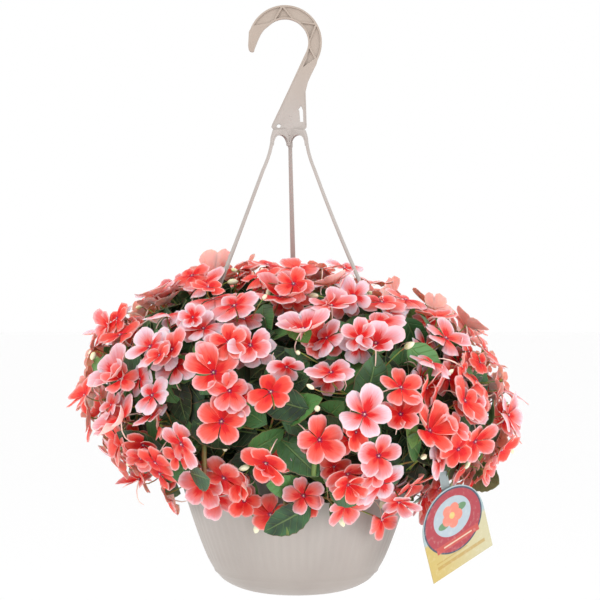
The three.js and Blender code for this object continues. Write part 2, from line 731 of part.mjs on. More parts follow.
let soil = solidOf(filling(BOWL.fluteDepth + BOWL.wall + GAP, SOIL.top, SOIL.crown));
const HOLE = { radius: STEM + 4.2, long: SOIL.holeDepth + 20 }; // it comes out above the crown of the soil
const holeMiddle = SOIL.top - SOIL.holeDepth + HOLE.long / 2;
for (const { root } of shoots) {
  const hole = new THREE.CylinderGeometry(HOLE.radius, HOLE.radius, HOLE.long, 4).rotateX(Math.PI / 2);
  soil = soil.subtract(solidOf(hole.translate(root.x, root.y, holeMiddle)));
}
soil = soil.subtract(strapSlot());

for (let index = 0; index < BLOOMS; index++) growBloom(index, shoots);
for (const shoot of shoots) growLeaves(shoot);

for (const shoot of shoots) {
  addPiece(shoot.name, shoot.green, COLOUR.leaf);
  addPiece(shoot.spray, shoot.blooms, COLOUR.bloom);
}
addPiece("soil", soil, COLOUR.soil);

export default basket;
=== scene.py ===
# %% [markdown]
# # A busy lizzie hanging basket
#
# This lesson dresses a hanging basket: a fluted bowl of soil, a one-piece hanger, a label on a strap and a full
# mound of coral busy lizzies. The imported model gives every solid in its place, in metres, and here each one gets its
# real surface. The plant's plain solids also say where every flower and leaf stands, so none is placed by hand.

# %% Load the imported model
import json
import math
import random

import bmesh
import bpy
from mathutils import Matrix, Vector, geometry, noise
from mathutils.bvhtree import BVHTree

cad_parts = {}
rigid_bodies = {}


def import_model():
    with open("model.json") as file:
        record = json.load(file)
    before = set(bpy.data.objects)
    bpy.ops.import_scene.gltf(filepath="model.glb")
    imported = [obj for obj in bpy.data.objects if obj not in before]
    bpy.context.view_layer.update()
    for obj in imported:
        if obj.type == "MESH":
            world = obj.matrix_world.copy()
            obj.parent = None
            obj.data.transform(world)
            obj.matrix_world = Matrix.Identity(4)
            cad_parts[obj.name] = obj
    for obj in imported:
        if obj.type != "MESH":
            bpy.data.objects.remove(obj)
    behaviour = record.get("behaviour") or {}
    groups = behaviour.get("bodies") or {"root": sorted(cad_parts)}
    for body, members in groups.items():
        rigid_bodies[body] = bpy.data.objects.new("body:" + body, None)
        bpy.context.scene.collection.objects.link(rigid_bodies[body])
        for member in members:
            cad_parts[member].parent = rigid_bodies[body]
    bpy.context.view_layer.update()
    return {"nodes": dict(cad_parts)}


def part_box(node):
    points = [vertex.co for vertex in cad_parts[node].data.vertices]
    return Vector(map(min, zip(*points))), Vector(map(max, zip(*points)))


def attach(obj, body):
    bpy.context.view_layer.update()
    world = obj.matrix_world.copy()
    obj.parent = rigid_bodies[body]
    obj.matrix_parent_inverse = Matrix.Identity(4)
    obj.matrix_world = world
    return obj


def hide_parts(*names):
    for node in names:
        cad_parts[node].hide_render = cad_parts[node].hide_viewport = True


for leftover in list(bpy.data.objects):
    bpy.data.objects.remove(leftover)
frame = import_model()
MM = 0.001


def mm(x, y, z):
    """A point or a step given in millimetres."""
    return Vector((x * MM, y * MM, z * MM))


# %% [markdown]
# ## Camera and light
#
# The basket was photographed from about two metres, a little above the bowl and almost level, through a long lens.

# %% Camera
DISTANCE = 2.0
EYE_HEIGHT = 0.36
SEEN_WIDTH = 0.66  # how much the picture takes in at the bowl's axis
PICTURE_CENTRE = Vector((0.004, 0.0, 0.317))


def in_scene(name, data):
    """A new object in the scene that shows some data."""
    made = bpy.data.objects.new(name, data)
    bpy.context.scene.collection.objects.link(made)
    return made


def aimed(name, data, place, target):
    """A camera or a lamp at a place, turned to what it looks at or lights."""
    made = in_scene(name, data)
    made.location = place
    made.rotation_euler = (Vector(target) - Vector(place)).to_track_quat("-Z", "Y").to_euler()
    return made


eye = (PICTURE_CENTRE.x, -DISTANCE, EYE_HEIGHT)
camera = aimed("camera", bpy.data.cameras.new("camera"), eye, PICTURE_CENTRE)
camera.data.lens = camera.data.sensor_width * DISTANCE / SEEN_WIDTH
bpy.context.scene.camera = camera
print("lens, mm:", round(camera.data.lens))

# %% [markdown]
# A white studio has a bright even world and four large soft lamps, the strongest from the upper left front.

# %% Studio
LAMPS = {  # place, what it lights, size and watts
    "key": ((-1.0, -1.9, 1.9), (0, 0, 0.25), 1.0, 27),
    "fill": ((1.8, -1.5, 0.2), (0, 0, 0.2), 1.6, 25),
    "side": ((-2.0, -0.5, 0.2), (0, 0, 0.2), 1.4, 7),
    "back": ((0.4, 1.9, 1.5), (0, 0, 0.3), 1.6, 16),
}
for name, (place, target, size, watts) in LAMPS.items():
    lamp = aimed(name, bpy.data.lights.new(name, "AREA"), place, target)
    lamp.data.size = size
    lamp.data.energy = watts

world = bpy.data.worlds.new("studio")
bpy.context.scene.world = world
world.use_nodes = True
sky = world.node_tree.nodes["Background"].inputs
sky["Color"].default_value = (1, 1, 1, 1)
sky["Strength"].default_value = 1.0
bpy.context.scene.view_settings.view_transform = "Standard"

# %% [markdown]
# ## Shader sums
#
# A finish is a small program of nodes, and written as sums it stays readable: a wrapped socket knows `+`, `-` and
# `*`, and each adds one Math node. `Finish.add` makes any other node. Colours are display colours, 0 to 255.

# %% Sockets that can be added and multiplied
def colour(red, green, blue):
    """A display colour as the linear colour that a shader takes."""
    linear = [(c / 255 / 12.92) if c < 11 else ((c / 255 + 0.055) / 1.055) ** 2.4 for c in (red, green, blue)]
    return (*linear, 1.0)


class Wire:
    """The output of a node. A sum written with it becomes a Math node."""

    def __init__(self, finish, socket):
        self.finish = finish
        self.socket = socket

    def maths(self, operation, *others):
        return self.finish.add("Math", {"operation": operation}, dict(enumerate((self, *others))))

    def __add__(self, other):
        return self.maths("ADD", other)

    def __sub__(self, other):
        return self.maths("SUBTRACT", other)

    def __mul__(self, other):
        return self.maths("MULTIPLY", other)

    def __rsub__(self, other):
        return self * -1 + other

    __radd__ = __add__
    __rmul__ = __mul__

    def step(self, low, high):
        """0 below `low`, 1 above `high` and smooth between; the other way round where `low` is the higher."""
        if low > high:
            return 1 - self.step(high, low)
        sockets = {"Value": self, "From Min": low, "From Max": high}
        return self.finish.add("MapRange", {"interpolation_type": "SMOOTHSTEP"}, sockets)


class Finish:
    """A material, built node by node and closed by `surface`."""

    def __init__(self, name):
        self.material = bpy.data.materials.new(name)
        self.material.use_nodes = True
        self.tree = self.material.node_tree
        self.tree.nodes.clear()

    def add(self, kind, settings, sockets, output=0):
        node = self.tree.nodes.new("ShaderNode" + kind)
        for name, value in settings.items():
            setattr(node, name, value)
        for name, value in sockets.items():
            if isinstance(value, Wire):
                self.tree.links.new(value.socket, node.inputs[name])
            else:
                node.inputs[name].default_value = value
        return Wire(self, node.outputs[output])

    def place(self):
        return self.add("TexCoord", {}, {}, "Object")

    def attribute(self, name):
        return self.add("Attribute", {"attribute_name": name}, {}, "Fac")

    def shares(self):
        """The two shares of a grid or a card, which its texture coordinates hold."""
        spot = self.add("UVMap", {"uv_map": "shares"}, {}, "UV")
        return [self.add("SeparateXYZ", {}, {0: spot}, axis) for axis in (0, 1)]

    def mix(self, share, first, second):
        """A colour between two, each a wire or a display colour."""
        first, second = (end if isinstance(end, Wire) else colour(*end) for end in (first, second))
        return self.add("Mix", {"data_type": "RGBA"}, {0: share, 6: first, 7: second}, 2)

    def layers(self, base, *layers):
        """A colour with others laid over it in turn, each after the share that it covers."""
        for share, shade in layers:
            base = self.mix(share, base, shade)
        return base

    def ramp(self, share, *stops):
        """A colour that runs through stops, each a place from 0 to 1 and a display colour."""
        made = self.add("ValToRGB", {}, {0: share})
        elements = made.socket.node.color_ramp.elements
        while len(elements) < len(stops):
            elements.new(0.5)
        for element, (place, shade) in zip(elements, stops):
            element.position = place
            element.color = colour(*shade)
        return made

    def noise(self, scale, detail=3.0, where=None):
        sockets = {"Vector": where or self.place(), "Scale": scale, "Detail": detail}
        return self.add("TexNoise", {}, sockets, "Fac")

    def bump(self, height, distance, strength=1.0):
        return self.add("Bump", {}, {"Height": height, "Distance": distance, "Strength": strength}, "Normal")

    def surface(self, **sockets):
        """Closes the material with a Principled surface; `base_color` stands for its socket Base Color."""
        named = {name.replace("_", " ").title().replace("Ior", "IOR"): value for name, value in sockets.items()}
        shader = self.add("BsdfPrincipled", {}, named)
        out = self.tree.nodes.new("ShaderNodeOutputMaterial")
        self.tree.links.new(shader.socket, out.inputs["Surface"])
        return self.material


print("a mid grey in linear light:", [round(c, 3) for c in colour(128, 128, 128)])

# %% [markdown]
# ## From a bmesh to a piece
#
# Every piece is a bmesh at first, and its vertices can carry marks, numbers that a finish reads. `piece` makes it an
# object that rides on the basket, with its finishes, and hides the solids that it replaces.

# %% Making a piece
def mesh_with(*marks):
    """An empty bmesh for vertices that carry some marks."""
    mesh = bmesh.new()
    for mark in marks:
        mesh.verts.layers.float.new(mark)
    return mesh


def write_marks(mesh, verts, **marks):
    for mark, value in marks.items():
        layer = mesh.verts.layers.float[mark]
        for vert in verts:
            vert[layer] = value


def soften(mesh, sharp_from=50):
    """Smooth shading, with an edge left sharp where its faces turn by more than `sharp_from` degrees."""
    mesh.normal_update()
    for face in mesh.faces:
        face.smooth = True
    for edge in mesh.edges:
        edge.smooth = len(edge.link_faces) < 2 or edge.calc_face_angle(0) < math.radians(sharp_from)


def data_of(mesh, name):
    """The mesh data of a bmesh, which ends here."""
    data = bpy.data.meshes.new(name)
    mesh.to_mesh(data)
    mesh.free()
    return data


def piece(name, mesh, finishes, slot, *replaced):
    """A bmesh as an object of the basket."""
    made = in_scene(name, data_of(mesh, name))
    for finish in finishes:
        made.data.materials.append(finish)
    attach(made, "root")
    if replaced:
        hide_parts(*replaced)


def merged(node):
    """A copy of a CAD node's mesh with its loose triangles joined."""
    mesh = bmesh.new()
    mesh.from_mesh(frame["nodes"][node].data)
    bmesh.ops.remove_doubles(mesh, verts=mesh.verts, dist=1e-6)
    mesh.normal_update()
    return mesh


def polar(radius, azimuth, z):
    return Vector((radius * math.cos(azimuth), radius * math.sin(azimuth), z))


def bezier(start, middle, end, steps):
    """Points along a curve that leaves `start` towards `middle` and comes into `end` from it."""
    shares = [i / steps for i in range(steps + 1)]
    return [(1 - t) ** 2 * start + 2 * t * (1 - t) * middle + t * t * end for t in shares]


sprays = sorted((n for n in frame["nodes"] if n.startswith("blooms_")), key=lambda n: int(n.split("_")[1]))
shoots = [n.replace("blooms", "shoot") for n in sprays]
print(len(sprays), "sprays on", len(shoots), "shoots")

# %% [markdown]
# ## The bowl
#
# The bowl is one thin moulded wall with soft upright flutes, a rounded bottom below a fine ring and a rolled lip.
# Its outline is spun round the axis, and a sine presses the flutes in, which fade out towards the ring and the lip.

# %% The bowl's outline
bowl_low, bowl_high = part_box("bowl")
RIM = (bowl_high.x - bowl_low.x) / 2
BOWL_TOP = bowl_high.z
FLUTES = 72
FLUTE_DEPTH = 0.8 * MM
WALL = 2 * MM
FOOT = 50  # its radius, mm
RING, WALL_BELLY, BOTTOM_BELLY = mm(89.6, 0, 19), mm(113, 0, 60), mm(74, 0, 3)
LIP_FOOT = Vector((RIM - 4 * MM, 0, BOWL_TOP - 10 * MM))
# The lip's outline: how far in from the rim and down from its top, in millimetres.
LIP = ((0.8, 10), (0.2, 9.4), (0, 8.6), (0, 1.2), (0.4, 0.3), (1.2, 0), (2.6, 0), (3.4, 0.4), (3.8, 1.4))

bottom = bezier(mm(FOOT, 0, 0), BOTTOM_BELLY, RING, 12)
wall = bezier(RING, WALL_BELLY, LIP_FOOT, 30)
corner = bezier(bottom[9], RING, wall[5], 10)
corner[5] += mm(0.6, 0, -0.6)  # the fine ring that the mould leaves
lip = [Vector((RIM - back * MM, 0, BOWL_TOP - down * MM)) for back, down in LIP]
outline = [mm(0, 0, 0), *bottom[:9], *corner, *wall[6:], *lip]
inner_wall = [spot - Vector((FLUTE_DEPTH + WALL, 0, 0)) for spot in reversed(wall[5:])]
inside = [*inner_wall, mm(FOOT, 0, 3), mm(0, 0, 3)]
print("bowl outline:", len(outline), "points outside and", len(inside), "inside")


# %% Spin the outline and press the flutes in
def spun(points, steps):
    """A closed surface of revolution through points that start and end on the axis."""
    mesh = bmesh.new()
    verts = [mesh.verts.new(point) for point in points]
    edges = [mesh.edges.new(pair) for pair in zip(verts, verts[1:])]
    bmesh.ops.spin(mesh, geom=verts + edges, axis=(0, 0, 1), angle=math.tau, steps=steps, use_merge=True)
    bmesh.ops.remove_doubles(mesh, verts=mesh.verts, dist=1e-6)
    bmesh.ops.recalc_face_normals(mesh, faces=mesh.faces)
    return mesh


def smooth_step(value, low, high):
    share = min(1, max(0, (value - low) / (high - low)))
    return share * share * (3 - 2 * share)


def wall_radius(z):
    """The radius of the bowl's outer wall at a height."""
    return min(wall, key=lambda spot: abs(spot.z - z)).x


bowl = spun(outline + inside, FLUTES * 4)
for vert in bowl.verts:
    radius = math.hypot(vert.co.x, vert.co.y)
    if radius + 1.5 * MM > wall_radius(vert.co.z):  # outside, since the inside lies further in
        fade = smooth_step(vert.co.z, RING.z + 4 * MM, RING.z + 30 * MM)
        fade *= 1 - smooth_step(vert.co.z, LIP_FOOT.z - 12 * MM, LIP_FOOT.z - 2 * MM)
        wave = 1 - abs(math.sin(FLUTES / 2 * math.atan2(vert.co.y, vert.co.x)))
        vert.co.x *= 1 - FLUTE_DEPTH * wave * fade / radius
        vert.co.y *= 1 - FLUTE_DEPTH * wave * fade / radius
soften(bowl)
print("bowl faces:", len(bowl.faces))

# %% [markdown]
# Its plastic is a warm pale grey, faintly cloudy, slightly darker in streaks where soil water has run down it, darker
# towards its bottom as a painted shade, and satin.

# %% Bowl plastic
def plastic(name, pale, deep, streaks, tint, tint_from, tint_to):
    """Moulded plastic: cloudy colour in streaks, a tint between two heights, fine dust and a barely uneven gloss."""
    finish = Finish(name)
    stretch = finish.add("Mapping", {}, {"Vector": finish.place(), "Scale": (26, 26, streaks)})
    runs = finish.noise(1.0, 4.0, stretch).step(0.42, 0.72)
    clouds = finish.noise(9.0).step(0.3, 0.7)
    dust = finish.noise(900.0, 2.0).step(0.6, 0.8)
    height = finish.add("SeparateXYZ", {}, {0: finish.place()}, 2)
    body = finish.layers(
        finish.mix(clouds * 0.5 + runs * 0.35, pale, deep),
        # on the bowl this tint between two heights is a painted shade that darkens it towards its bottom
        (height.step(tint_from, tint_to) * 0.42, tint),
        (dust * 0.18, (126, 114, 106)),
    )
    grain = finish.bump(finish.noise(500.0, 2.0) * 0.5 + clouds * 2, 0.00004)
    gloss = 0.42 + clouds * 0.12 + dust * 0.1
    return finish.surface(base_color=body, roughness=gloss, normal=grain, specular_ior_level=0.4)


# the bowl's tint, from 9 cm down to its bottom, is a painted shade
bowl_plastic = plastic("bowl_plastic", (171, 164, 158), (160, 152, 147), 2.5, (122, 110, 102), 0.09, 0.0)
piece("bowl_shell", bowl, [bowl_plastic], "bowl_plastic", "bowl")
print("bowl made")

# %% [markdown]
# ## The soil
#
# The soil hardly shows. Its crown is spun like the bowl, roughened with noise and strewn with bark and perlite.

# %% Soil
SOIL_EDGE = 176 * MM
SOIL_CROWN = 185 * MM
SOIL_INSET = FLUTE_DEPTH + WALL + 0.5 * MM
SOIL_RADIUS = wall_radius(SOIL_EDGE) - SOIL_INSET
CRUMBS = 420


def crown_point(share):
    """A point of the crown's outline, by its share of the soil's radius."""
    return Vector((SOIL_RADIUS * share, 0, SOIL_CROWN + (SOIL_EDGE - SOIL_CROWN) * share * share))


random.seed(5)
side = [Vector((spot.x - SOIL_INSET, 0, spot.z)) for spot in wall[6::3] if spot.z < SOIL_EDGE - 4 * MM]
top = [crown_point(share) for share in (1, 0.9, 0.8, 0.7, 0.55, 0.4, 0.2, 0)]
soil = spun([mm(0, 0, 4), mm(FOOT, 0, 4), *side, *top], 72)
for vert in soil.verts:
    if vert.co.z > SOIL_EDGE - 1 * MM:
        vert.co.z += 2.5 * MM * noise.fractal(vert.co * 60, 0.6, 2.0, 4)
soften(soil, 80)
for _ in range(CRUMBS):
    spot = polar(SOIL_RADIUS * math.sqrt(random.random()) * 0.97, random.uniform(0, math.tau), 0)
    spot.z = crown_point(spot.length / SOIL_RADIUS).z + 0.5 * MM
    size = random.uniform(1.0, 2.8) * MM
    turn = Matrix.Rotation(random.uniform(0, 6), 4, (random.random(), random.random(), 1))
    stretch = Matrix.Diagonal((1, random.uniform(0.4, 1), random.uniform(0.35, 0.7), 1))
    bmesh.ops.create_icosphere(soil, subdivisions=1, radius=size, matrix=Matrix.Translation(spot) @ turn @ stretch)

ground = Finish("potting_soil")
lumps = ground.noise(140.0, 6.0)
perlite = ground.noise(210.0, 0.0).step(0.72, 0.76)
earth = ground.mix(lumps.step(0.35, 0.7), (30, 22, 17), (74, 55, 42))
earth = ground.mix(perlite, earth, (205, 200, 190))
potting_soil = ground.surface(base_color=earth, roughness=0.95, normal=ground.bump(lumps, 0.002))
piece("soil_crown", soil, [potting_soil], "potting_soil", "soil")
print("soil made")

# %% [markdown]
# ## Reading the plant
#
# A packed flower is a fan of triangles round a sunk eye, the only point where fifteen edges meet: five to the near
# notches between the petals and ten to the far tips. So its place, facing, turn and radius are read off its solid.
# On a leaf's rib ten edges meet on the upper side, and eleven on the underside, a blade's thickness below.

# %% Flowers of a spray
HEART = Vector((0, 0, 0.2))  # the middle of the mound
EYE_EDGES = 15
NOTCHES_WITHIN = 0.75  # of the radius
EYE_DEPTH = 1.6 * MM
LEAST_RADIUS, MOST_RADIUS = 18 * MM, 34 * MM


def basis(across, over, facing, place):
    """A frame from its three axes and its origin."""
    frame_matrix = Matrix((across, over, facing)).transposed().to_4x4()
    frame_matrix.translation = place
    return frame_matrix


def flowers_of(spray):
    """The frame of every flower in a spray: its centre, with X along the longest petal and Z where it faces."""
    found = []
    mesh = merged(spray)
    for eye in (v for v in mesh.verts if len(v.link_edges) == EYE_EDGES):
        ends = sorted((edge.other_vert(eye).co.copy() for edge in eye.link_edges), key=lambda p: (p - eye.co).length)
        notches, tips = ends[:5], ends[5:]
        radius = (tips[4] - eye.co).length
        if (notches[4] - eye.co).length > NOTCHES_WITHIN * radius or not LEAST_RADIUS < radius < MOST_RADIUS:
            continue
        facing = geometry.normal(notches)
        facing *= math.copysign(1, facing.dot(sum(tips, Vector()) / 10 - eye.co))
        across = tips[9] + tips[8] - 2 * eye.co
        across = (across - facing * across.dot(facing)).normalized()
        place = eye.co + EYE_DEPTH * facing
        found.append((basis(across, facing.cross(across), facing, place), radius))
    mesh.free()
    return found


flowers = {spray: flowers_of(spray) for spray in sprays}
print(sum(map(len, flowers.values())), "flowers")

# %% Leaves of a shoot
BLADE = 0.8 * MM
RIB_EDGES, UNDER_EDGES = 10, 11
RIB_PLACE = 0.45  # where on a leaf's length its rib's middle lies
RIB_TO_TIP = 0.5544  # how far the tip is from there, as a share of the length
RIB_TO_SIDE = 0.507  # and how far the sides are, as a share of the width


def leaves_of(shoot):
    """The frame of every leaf of a shoot, X along its rib and Z up from its blade, with its length and width."""
    found = []
    mesh = merged(shoot)
    for rib in (v for v in mesh.verts if len(v.link_edges) == RIB_EDGES):
        under = min((v for v in mesh.verts if v != rib), key=lambda v: (v.co - rib.co).length)
        if len(under.link_edges) != UNDER_EDGES or abs((under.co - rib.co).length - BLADE) > 0.1 * MM:
            continue
        ends = [edge.other_vert(rib).co for edge in rib.link_edges]
        over = (rib.co - under.co).normalized()
        way = max(ends, key=lambda p: (p - rib.co).length) - rib.co
        long = way.length / RIB_TO_TIP
        way = (way - over * way.dot(over)).normalized()
        across = over.cross(way)
        wide = max(abs((p - rib.co).dot(across)) for p in ends) / RIB_TO_SIDE
        base = rib.co - way * RIB_PLACE * long + over * 0.02 * long
        found.append((basis(way, across, over, base), long, wide))
    mesh.free()
    return found


leaves = {shoot: leaves_of(shoot) for shoot in shoots}
print(sum(map(len, leaves.values())), "leaves")

# %% [markdown]
# A shoot's stem runs from its lowest corners, in the soil, to the corners that touch its spray. It climbs over the
# rim where its tip is outside, and hangs down where it trails.

# %% Stems
TRAILS_BELOW = 165 * MM  # a shoot whose tip is lower hangs down
CLIMBS_FROM = 125 * MM  # a shoot whose tip is further out climbs over the rim


def curve_through(points, steps):
    """A smooth path through points, with `steps` pieces between each two."""
    ends = [2 * points[0] - points[1], *points, 2 * points[-1] - points[-2]]
    path = [points[0]]
    for before, start, end, after in zip(ends, ends[1:], ends[2:], ends[3:]):
        reach = (end - start).length / 3
        out = start + (end - before).normalized() * reach
        back = end - (after - start).normalized() * reach
        path += geometry.interpolate_bezier(start, out, back, end, steps + 1)[1:]
    return path


def stem_of(shoot, spray):
    """The stem's path, its tip and the way that it points there."""
    green, bloom = merged(shoot), merged(spray)
    flower_skin = BVHTree.FromBMesh(bloom)
    near = sorted(green.verts, key=lambda v: flower_skin.find_nearest(v.co)[3])[:3]
    low = sorted(green.verts, key=lambda v: v.co.z)[:3]
    tip, root = (sum((v.co for v in group), Vector()) / 3 for group in (near, low))
    green.free()
    bloom.free()
    azimuth, radius = math.atan2(tip.y, tip.x), math.hypot(tip.x, tip.y)
    trails = tip.z < TRAILS_BELOW
    lean = -0.9 if trails else min(0.9, max(-0.2, (tip.z - HEART.z) / 0.06))
    axis = polar(0.25 if radius < 30 * MM else 0.75, azimuth, lean).normalized()
    points = [root, Vector((root.x, root.y, SOIL_CROWN + 3 * MM))]
    if radius > CLIMBS_FROM:
        points.append(polar(RIM - 4 * MM, azimuth, BOWL_TOP + max(0.42 * (tip.z - BOWL_TOP), 14 * MM)))
    if trails:
        knee = tip.z + 0.62 * (BOWL_TOP + 15 * MM - tip.z)
        points.append(polar(max(RIM + 13 * MM, radius + 3 * MM), azimuth, knee))
    points += [tip - 13 * MM * axis, tip]
    return curve_through(points, 5), tip, axis


stems = {shoot: stem_of(shoot, spray) for shoot, spray in zip(shoots, sprays)}
print("highest tip, mm:", round(max(tip.z for _, tip, _ in stems.values()) / MM))

# %% [markdown]
# ## Petals
#
# A petal is a broad notched fan. A formula in two shares, `u` across and `v` along, bends a grid into it, and the
# finish reads the shares again as texture coordinates. Five petals make a flower, each tilted a little so that it
# passes over its neighbour. Eight flowers of different stance serve for all, and each copy has its own tone.

# %% One flower
PETALS = 5
OVERLAP = math.radians(41)  # half the angle that a petal covers
CUPS = (-0.12, 0.02, 0.1, 0.2, 0.34, -0.04, 0.14, 0.06)
PETAL_TRAITS = {
    "lift": (-0.16, 0.16),
    "curl": (-0.06, 0.22),
    "twist": (-0.12, 0.12),
    "notch": (0.01, 0.09),
    "wide": (0.84, 1.06),
    "long": (0.9, 1.06),
    "flare": (0.2, 0.9),
}


def petal_point(u, v, stance, petal):
    """A point of a petal with radius 1, on the axis of its flower; u runs from -1 to 1 and v from 0 to 1."""
    notch = stance["notch"][petal] * math.exp(-((u / 0.2) ** 2))
    edge = stance["long"][petal] * (1 - 0.42 * abs(u) ** 2.2 - notch)
    reach = (0.05 + 0.95 * v) * edge
    turn = u * OVERLAP * stance["wide"][petal] * (0.82 + 0.18 * v) + stance["twist"][petal] * v
    height = -0.06 + 0.1 * v + stance["cup"] * v * v + stance["lift"][petal] * v - stance["curl"][petal] * v**4
    height += 0.05 * u * v - 0.12 * u * u * v + 0.03 * math.sin(5 * u + 2 * petal + stance["phase"]) * v**2
    return Vector((reach * math.cos(turn), reach * math.sin(turn), height))


def write_shares(faces, layer, span):
    """Writes where each corner lies on a span round the origin, as shares from 0 to 1 of its X and Y."""
    for face in faces:
        for loop in face.loops:
            loop[layer].uv = (loop.vert.co.x / span + 0.5, loop.vert.co.y / span + 0.5)


def share_grid(mesh, columns, rows, shares):
    """Adds a grid with its shares to a mesh, from -1 to 1 both ways."""
    grid = bmesh.ops.create_grid(mesh, x_segments=columns, y_segments=rows, size=1)["verts"]
    write_shares({face for vert in grid for face in vert.link_faces}, shares, 2)
    return grid


def thicken(mesh, thickness):
    """Gives a sheet its thickness and marks its underside."""
    lower = bmesh.ops.solidify(mesh, geom=mesh.faces[:], thickness=thickness)["geom"]
    write_marks(mesh, [item for item in lower if isinstance(item, bmesh.types.BMVert)], back=1)


def make_flower(stance, columns, rows):
    """A flower with petals of radius 1, which faces up."""
    mesh = mesh_with("flare", "back")
    shares = mesh.loops.layers.uv.new("shares")
    for petal in range(PETALS):
        turn = Matrix.Rotation(math.tau * petal / PETALS, 3, "Z")
        grid = share_grid(mesh, columns, rows, shares)
        write_marks(mesh, grid, flare=stance["flare"][petal])
        for vert in grid:
            vert.co = turn @ petal_point(vert.co.x, vert.co.y / 2 + 0.5, stance, petal)
    bmesh.ops.reverse_faces(mesh, faces=mesh.faces)  # the formula's sense leaves them looking down
    mesh.normal_update()
    thicken(mesh, 0.014)
    eye = bmesh.ops.create_icosphere(mesh, subdivisions=1, radius=0.036, matrix=Matrix.Translation((0, 0, -0.035)))
    write_marks(mesh, eye["verts"], flare=-1)
    soften(mesh, 60)
    return data_of(mesh, "flower")


random.seed(11)
flower_shapes, small_shapes = [], []
for cup in CUPS:
    stance = {"cup": cup, "phase": random.uniform(0, 6)}
    for trait, limits in PETAL_TRAITS.items():
        stance[trait] = [random.uniform(*limits) for _ in range(PETALS)]
    flower_shapes.append(make_flower(stance, 8, 5))
    small_shapes.append(make_flower(stance, 6, 3))
print("faces of a flower:", len(flower_shapes[0].polygons), "or below", len(small_shapes[0].polygons))

# %% [markdown]
# A red flare shoots out from a petal's foot in streaks, turns into coral and ends in a fine pale margin. The
# underside is paler, partly its own colour and partly painted light that lifts undersides lying in shade, and every
# flower has its own tone between deep coral and shell pink.

# %% Petal finish
petal = Finish("petals")
across, v = petal.shares()
u = (across - 0.5) * 2
side_way = u.maths("ABSOLUTE")
fan = petal.add("CombineXYZ", {}, {"X": u * 9, "Y": v * 1.3, "Z": petal.attribute("tone") * 40})
streaks = petal.noise(1.0, 3.0, fan)
blotches = petal.noise(55.0, 2.0)
tone = petal.attribute("tone") + (blotches - 0.5) * 0.35

reach = petal.attribute("flare") * 0.34 - side_way * 0.22 + (streaks - 0.5) * 0.55 + 0.27
margin = (v + side_way * side_way * 0.08 + (streaks - 0.5) * 0.1).step(0.84, 1.02)
body = petal.ramp(
    tone * 0.5 + v * 0.82 + (streaks - 0.5) * 0.22 - 0.26,
    (0.0, (214, 34, 28)),
    (0.25, (225, 66, 50)),
    (0.5, (220, 94, 82)),
    (0.75, (212, 132, 136)),
    (1.0, (215, 190, 201)),
)
body = petal.layers(
    body,
    (margin * 0.42, (238, 207, 206)),
    ((v - reach).step(0.16, -0.1) * 0.96, (206, 6, 14)),  # the flare
    (v.step(0.13, 0.03), (130, 14, 70)),  # the dark throat
    (petal.attribute("flare").step(0.0, -0.5), (214, 190, 190)),  # the eye in it
    # the paler underside: partly its own colour, partly painted light for undersides that lie in shade
    (petal.attribute("back") * 0.8, (250, 204, 196)),
)
petal_skin = petal.surface(
    base_color=body,
    roughness=0.5 + blotches * 0.25,
    normal=petal.bump(streaks + blotches * 0.4, 0.0008),
    specular_ior_level=0.3,
    subsurface_weight=0.85,
    subsurface_scale=0.0014,
    subsurface_radius=(1.0, 0.45, 0.35),
)
print("petal finish:", len(petal.tree.nodes), "nodes")


# %% Plant the flowers
def add_copy(target, shape, place, **marks):
    """Adds a copy of a shape to a piece, with its own marks."""
    copy = shape.copy()
    copy.transform(place)
    start = len(target.verts)
    target.from_mesh(copy)
    bpy.data.meshes.remove(copy)
    target.verts.ensure_lookup_table()
    write_marks(target, target.verts[start:], **marks)


def add_flower(target, shapes, place, radius):
    """A flower with its own tone, which drifts slowly over the plant."""
    drift = noise.noise(place.translation * 9)
    tone = min(1.1, max(-0.1, 0.42 + 0.6 * drift + random.uniform(-0.58, 0.58)))
    add_copy(target, random.choice(shapes), place @ Matrix.Scale(0.97 * radius, 4), tone=tone)


random.seed(3)
for spray in sprays:
    petals_mesh = mesh_with("tone")
    for place, radius in flowers[spray]:
        add_flower(petals_mesh, flower_shapes, place, radius)
    piece(spray.replace("blooms", "petals"), petals_mesh, [petal_skin], "petals", spray)
print("flowers planted")

# %% [markdown]
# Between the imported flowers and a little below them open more, wherever one has room. They look outwards too, but
# are turned far more freely.

# %% Flowers of the lower layer
MORE_FLOWERS = 330
TRIES = 20000
LARGE_TRIES = 9000  # the flowers found after these are smaller
LEAST_ROOM = 14 * MM
NEARBY = 75 * MM
PETAL_ROOM = 0.86  # the share of its radius within which a flower keeps clear of others


def any_way():
    return Vector([random.uniform(-1, 1) for _ in range(3)])


def card(place, long, wide, sides=8):
    """A flat oval along a frame's X axis, with its middle: a stand-in to test for crossings."""
    turns = [math.tau * i / sides for i in range(sides)]
    rim = [place @ Vector((long * (1 + math.cos(t)) / 2, wide / 2 * math.sin(t), 0)) for t in turns]
    return place @ Vector((long / 2, 0, 0)), BVHTree.FromPolygons(rim, [range(sides)])


def flower_card(place, radius):
    reach = PETAL_ROOM * radius
    return card(place @ Matrix.Translation((-reach, 0, 0)), 2 * reach, 2 * reach)


def crosses(candidate, others):
    middle, oval = candidate
    return any((middle - spot).length < NEARBY and oval.overlap(other) for spot, other in others)


